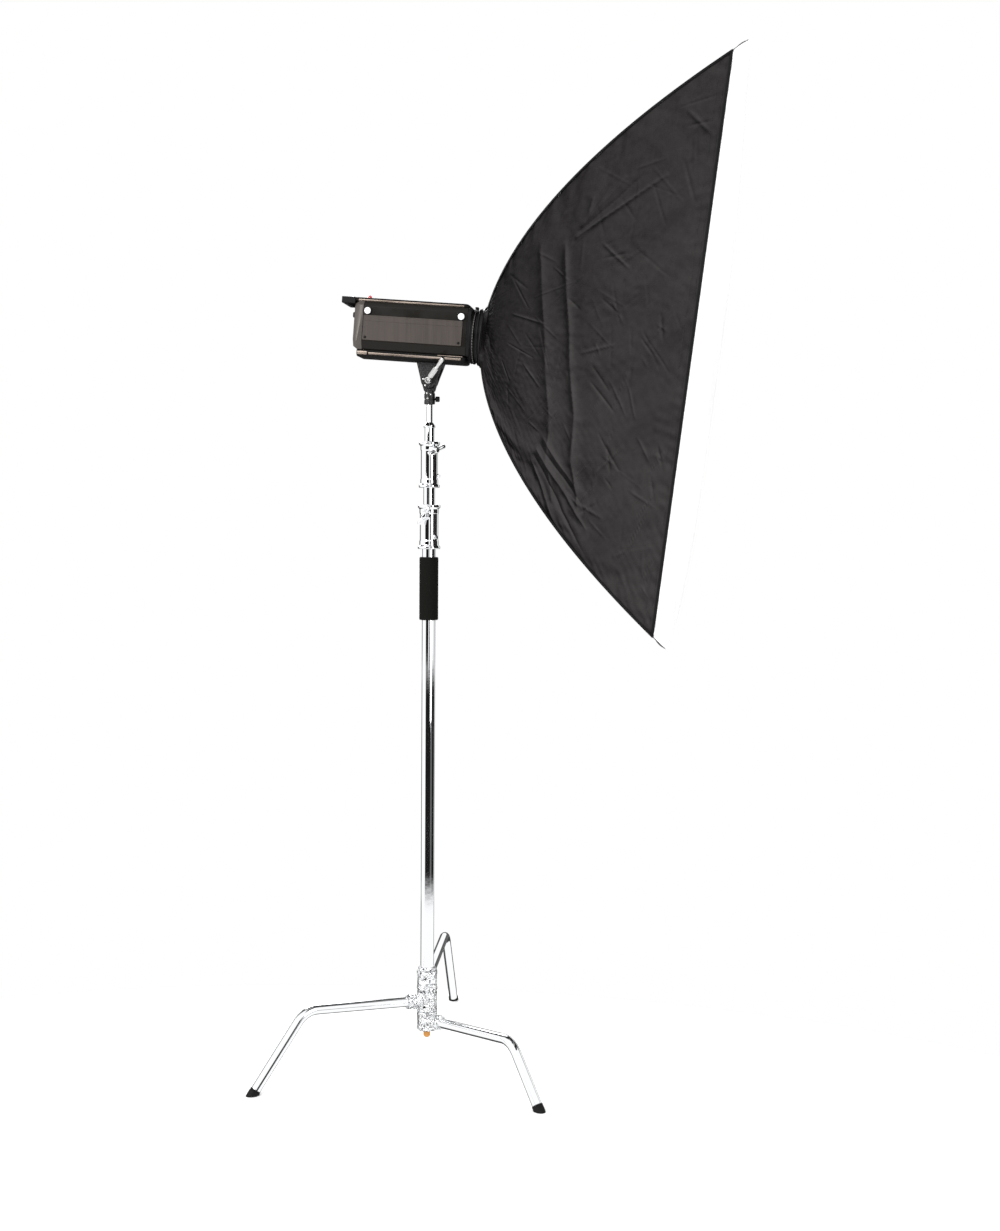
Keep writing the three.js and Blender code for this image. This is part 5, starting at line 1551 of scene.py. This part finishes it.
def make_inside(paints):
    """The lamp's working parts, which show through the vents and the front."""
    axis = aim((0, 0, AXIS_W), (1, 0, 0))
    base = lathe([(0, 88), (49, 88), (49, 94), (16, 94), (16, 102), (0, 102)], 1.2, 64)
    base = base + lathe([(0, 84), (16, 84), (16, 88.2), (0, 88.2)], 1.0, 48)
    on_lamp("lamp_plate", base.moved(axis), paints["ceramic"], "lamp_ceramic", "lamp_base")
    gap = math.radians(18)
    span = 2 * (math.pi - gap)

    def on_loop(x, a):
        """A place on the flash tube's circle, at an angle from its lowest point."""
        return Vector((x, 34 * math.sin(math.pi + a), AXIS_W + 34 * math.cos(math.pi + a)))

    loop = [on_loop(112, gap + span * k / 48) for k in range(49)]
    post = turned([(0, 0), (3.5, 0), (3.5, 18), (0, 18)], 24)
    posts = [post.moved(aim(on_loop(94.3, a), (1, 0, 0))) for a in (gap, -gap)]
    on_lamp("flash_loop", tube(loop, 4, 20) + merged(posts), paints["glass"], "lamp_glass", "flash_tube")
    bulb = [(0, 0), (9, 0), (9, 12), (10, 16), (12, 21), (13.4, 27), (14, 33), (13.6, 39), (12, 44.5),
            (9.5, 49), (6, 52.2), (3, 53.6), (0, 54)]
    where = aim((102.3, 0, AXIS_W), (1, 0, 0))
    on_lamp("lamp_bulb", turned(bulb, 40).moved(where), paints["glass"], "lamp_glass", "modelling_bulb")
    hub = lathe([(0, 0), (11, 0), (11, 10), (0, 10)], 1.5, 36).moved(aim((-163, 0, AXIS_W + 2), (1, 0, 0)))
    blades = []
    for k in range(5):
        turn = Matrix.Translation((-158, 0, AXIS_W + 2)) @ spun(72 * k, "X")
        blade = [[(-0.9 * s, -5 + 3 * math.sin(r / 12), r), (0.9 * s, -5 + 3 * math.sin(r / 12), r),
                  (1.6 * s, 4, r), (-0.2 * s, 4, r)] for r, s in ((9, 1), (18, 1), (29, 0.8))]
        blades.append(loft(blade).moved(turn @ spun(35)))
    fan = hub + merged(blades)
    put("fan_blades", fan, HEAD, "fan", paints["black_plastic"], "black_plastic", "fan_rotor",
        bevel=0.3, segments=1)


# ---------------------------------------------------------------- paints


CHROME = (0.86, 0.87, 0.88)
PITS = (0.03, 0.03, 0.032)


def chrome_paint(name="chrome", waves=60, depth=0.0006, strength=0.04, pitted=False):
    """Bright chrome; a pitted casting keeps dark specks where the buffing wheel does not reach."""
    paint = Paint(name, CHROME, 0.05, 1.0)
    if pitted:
        specks = paint.ranged(paint.noise(150, 3, roughness=0.7), 0, 1, 0.57, 0.60)
        paint.blend_color(specks, CHROME, PITS)
    smudge = paint.noise(9, 4)
    paint.rough(paint.ranged(smudge, 0.02, 0.06, 0.35, 0.7))
    paint.bump(paint.noise(waves, 2), depth, strength)
    return paint


PAINTED_SHADE_SHARE = 0.84  # how much of a creased cloth's colour is the painted light and shade of its folds


def cloth_paint(name, dark, light, roughness, weave=0.0007, spec=0.14, creased=False):
    """Coated nylon: a fine plain weave, slow random changes of tone, and on creased cloth the painted light and
    shade of its folds.
    """
    paint = Paint(name, light, roughness)
    paint.shader.inputs["Specular IOR Level"].default_value = spec
    cloud = paint.noise(4.2, 5, roughness=0.6)
    shade = paint.ranged(cloud, 0, 1, 0.35, 0.66)
    if creased:
        # painted light and shade, kept on the cloth's points
        painted_shade = paint.add("ShaderNodeAttribute", attribute_name=PAINTED_SHADE_LAYER).outputs["Fac"]
        fine = paint.ranged(paint.noise(55, 4, roughness=0.65), -0.07, 0.07, 0.3, 0.7)
        shade = paint.maths("MULTIPLY", shade, 1 - PAINTED_SHADE_SHARE)
        shade = paint.maths("ADD", shade, paint.maths("MULTIPLY", painted_shade, PAINTED_SHADE_SHARE))
        shade = paint.maths("ADD", shade, fine)
    paint.blend_color(shade, dark, light)
    threads = []
    for axis in range(3):
        scale = [0.15, 0.15, 0.15]
        scale[axis] = 1.0
        wave = paint.add("ShaderNodeTexWave", {"Vector": paint.stretched(scale)})
        wave.bands_direction = "XYZ"[axis]
        wave.inputs["Scale"].default_value = 0.05 / weave
        threads.append(wave.outputs["Fac"])
    weave_height = paint.maths("MULTIPLY", paint.maths("ADD", threads[0], threads[1]), threads[2])
    soft = paint.noise(30, 5, roughness=0.6)
    weave_height = paint.maths("MULTIPLY", weave_height, 0.06)
    height = paint.maths("ADD", paint.maths("MULTIPLY", soft, 1.6), weave_height)
    paint.bump(height, 0.0034 if creased else 0.0008, 0.7)
    paint.rough(paint.ranged(cloud, roughness - 0.08, roughness + 0.06))
    return paint


def plastic_paint(name, color, roughness=0.42, grain=900, depth=0.0001, metallic=0.0, spec=0.16):
    """Moulded plastic with a fine grain and slight unevenness in its gloss."""
    paint = Paint(name, color, roughness, metallic, Specular_IOR_Level=spec)
    paint.bump(paint.noise(grain, 2), depth, 0.35)
    patchy = paint.noise(22, 3)
    paint.rough(paint.ranged(patchy, roughness - 0.06, roughness + 0.08, 0.3, 0.7))
    return paint


def brushed_paint(name, color, light, roughness, direction, metallic=0.75):
    """Metal brushed along an axis: long streaks of gloss, shade and height."""
    paint = Paint(name, color, roughness, metallic)
    scale = [170, 170, 170]
    scale[direction] = 5
    streaks = paint.noise(1.0, 4, paint.stretched(scale), 0.65)
    paint.blend_color(paint.ranged(streaks, 0, 1, 0.35, 0.68), color, light)
    paint.rough(paint.ranged(streaks, roughness - 0.08, roughness + 0.12, 0.3, 0.7))
    paint.bump(streaks, 0.00008, 0.4)
    return paint


def hammered_paint(name, color, roughness=0.34):
    paint = Paint(name, color, roughness, Specular_IOR_Level=0.4)
    dimples = paint.cells(330)
    paint.bump(dimples, 0.0007, 0.7)
    paint.rough(paint.ranged(paint.noise(60, 3), roughness - 0.08, roughness + 0.14))
    return paint


def foam_paint(name, color):
    paint = Paint(name, color, 0.95, Specular_IOR_Level=0.08)
    pores = paint.cells(620)
    coarse = paint.noise(120, 3)
    paint.bump(paint.maths("ADD", pores, coarse), 0.0007, 0.6)
    return paint


def rubber_paint(name, color):
    paint = Paint(name, color, 0.72, Specular_IOR_Level=0.2)
    scuffs = paint.noise(45, 5, roughness=0.65)
    paint.blend_color(paint.ranged(scuffs, 0, 1, 0.45, 0.75), color, tuple(3 * c for c in color))
    paint.bump(paint.noise(700, 2), 0.0002, 0.4)
    return paint


def glass_paint(name, color, roughness):
    return Paint(name, color, roughness, IOR=1.47, Transmission_Weight=0.9)


PAINTS = {
    "chrome": chrome_paint(),
    "cast_chrome": chrome_paint("cast_chrome", 95, 0.009, 1.0, pitted=True),
    # light grey for the painted highlights on the casing's and the collar's front edges
    "highlight_grey": plastic_paint("highlight_grey", (0.17, 0.16, 0.15), 0.35),
    "black_cloth": cloth_paint("black_cloth", (0.0072, 0.0062, 0.0063), (0.0155, 0.0137, 0.0142), 0.5),
    # the side panels: dark and light far apart, to carry the painted light and shade of their folds
    "panel_cloth": cloth_paint("panel_cloth", (0.0012, 0.0010, 0.0010), (0.042, 0.0380, 0.0388), 0.55,
                               spec=0.05, creased=True),
    "binding": cloth_paint("binding", (0.003, 0.003, 0.003), (0.007, 0.007, 0.007), 0.7),
    "silver_lining": Paint("silver_lining", (0.72, 0.72, 0.73), 0.35, 0.7),
    "white_cloth": cloth_paint("white_cloth", (0.77, 0.77, 0.77), (0.81, 0.81, 0.81), 0.85),
    "white_piping": Paint("white_piping", (0.8, 0.8, 0.8), 0.8),
    "thread": Paint("thread", (0.012, 0.012, 0.012), 0.8),
    "tan_leather": plastic_paint("tan_leather", (0.52, 0.24, 0.08), 0.6, 500, 0.0002),
    "grey_cord": Paint("grey_cord", (0.09, 0.09, 0.09), 0.7),
    "ring_black": plastic_paint("ring_black", (0.006, 0.006, 0.006), 0.3, 800, 0.00005),
    "black_plastic": plastic_paint("black_plastic", (0.0045, 0.0045, 0.0045), 0.42),
    "rear_cover": plastic_paint("rear_cover", (0.085, 0.075, 0.068), 0.36, 700, 0.00006, 0.3),
    "rail_dark": plastic_paint("rail_dark", (0.004, 0.0036, 0.0033), 0.4, 700, 0.00006),
    "belly": plastic_paint("belly", (0.005, 0.0048, 0.0045), 0.7, 700, 0.00006),
    "body_dark": plastic_paint("body_dark", (0.0105, 0.009, 0.0075), 0.3, 700, 0.00006, 0.1),
    "side_metal": brushed_paint("side_metal", (0.038, 0.029, 0.024), (0.056, 0.044, 0.037), 0.5, 2, 0.3),
    "rail_metal": brushed_paint("rail_metal", (0.36, 0.29, 0.24), (0.5, 0.42, 0.36), 0.28, 0, 0.9),
    "hammered": hammered_paint("hammered", (0.005, 0.0048, 0.0046)),
    "satin": brushed_paint("satin", (0.62, 0.62, 0.61), (0.74, 0.74, 0.73), 0.22, 1, 1.0),
    "spring_steel": brushed_paint("spring_steel", (0.5, 0.5, 0.5), (0.6, 0.6, 0.6), 0.3, 0, 1.0),
    "foam": foam_paint("foam", (0.0062, 0.0064, 0.0052)),
    "rubber": rubber_paint("rubber", (0.0035, 0.0035, 0.0035)),
    "tan_plastic": plastic_paint("tan_plastic", (0.55, 0.26, 0.07), 0.4),
    "white_plastic": plastic_paint("white_plastic", (0.88, 0.88, 0.87), 0.35),
    "glass": glass_paint("glass", (0.95, 0.97, 0.98), 0.03),
    "ceramic": plastic_paint("ceramic", (0.78, 0.74, 0.66), 0.5, 500, 0.0001),
    "red_dome": Paint("red_dome", (0.55, 0.012, 0.02), 0.12, Coat_Weight=0.6),
    "teal": plastic_paint("teal", (0.03, 0.36, 0.32), 0.35),
}


def make_softbox():
    for number, name in enumerate(PANELS):
        make_panel(name, 100 + 7 * number, PAINTS["panel_cloth"], PAINTS["silver_lining"])
    make_seams(PAINTS["binding"])
    make_hem(PAINTS["binding"], PAINTS["thread"])
    make_diffuser(PAINTS["white_cloth"], PAINTS["white_piping"], PAINTS["tan_leather"], PAINTS["grey_cord"])
    make_neck(PAINTS["black_cloth"], PAINTS["ring_black"], PAINTS["black_plastic"])


NODE_PAINTS = {
    "chrome": "chrome", "foot_rubber": "rubber", "grip_foam": "foam", "plug_plastic": "tan_plastic",
    "hammered_paint": "hammered", "satin_metal": "satin", "spring_steel": "spring_steel",
    "body_metal": "body_dark", "side_panel_metal": "side_metal", "rail_metal": "rail_metal",
    "black_plastic": "black_plastic", "ring_metal": "ring_black", "lamp_glass": "glass",
    "lamp_ceramic": "ceramic", "sensor_red": "red_dome", "button_teal": "teal",
    "black_fabric": "black_cloth", "white_fabric": "white_cloth",
}


def paint_nodes():
    """Every carried-over node gets its slot's paint."""
    slots = {part["node"]: part["material_slot"] for part in frame["record"]["subparts"]}
    for name, thing in frame["nodes"].items():
        paint = PAINTS[NODE_PAINTS[slots[name]]]
        thing.data.materials.clear()
        thing.data.materials.append(paint.material)


make_camera()
make_world()
make_lights()
make_floor()
make_softbox()
make_hub(PAINTS["chrome"], PAINTS["cast_chrome"], PAINTS["tan_plastic"], PAINTS["rubber"])
make_grip(PAINTS["foam"])
make_risers(PAINTS["chrome"])
make_bracket(PAINTS["hammered"], PAINTS["satin"], PAINTS["black_plastic"])
make_body(PAINTS)
make_controls(PAINTS)
make_front(PAINTS)
make_inside(PAINTS)
paint_nodes()
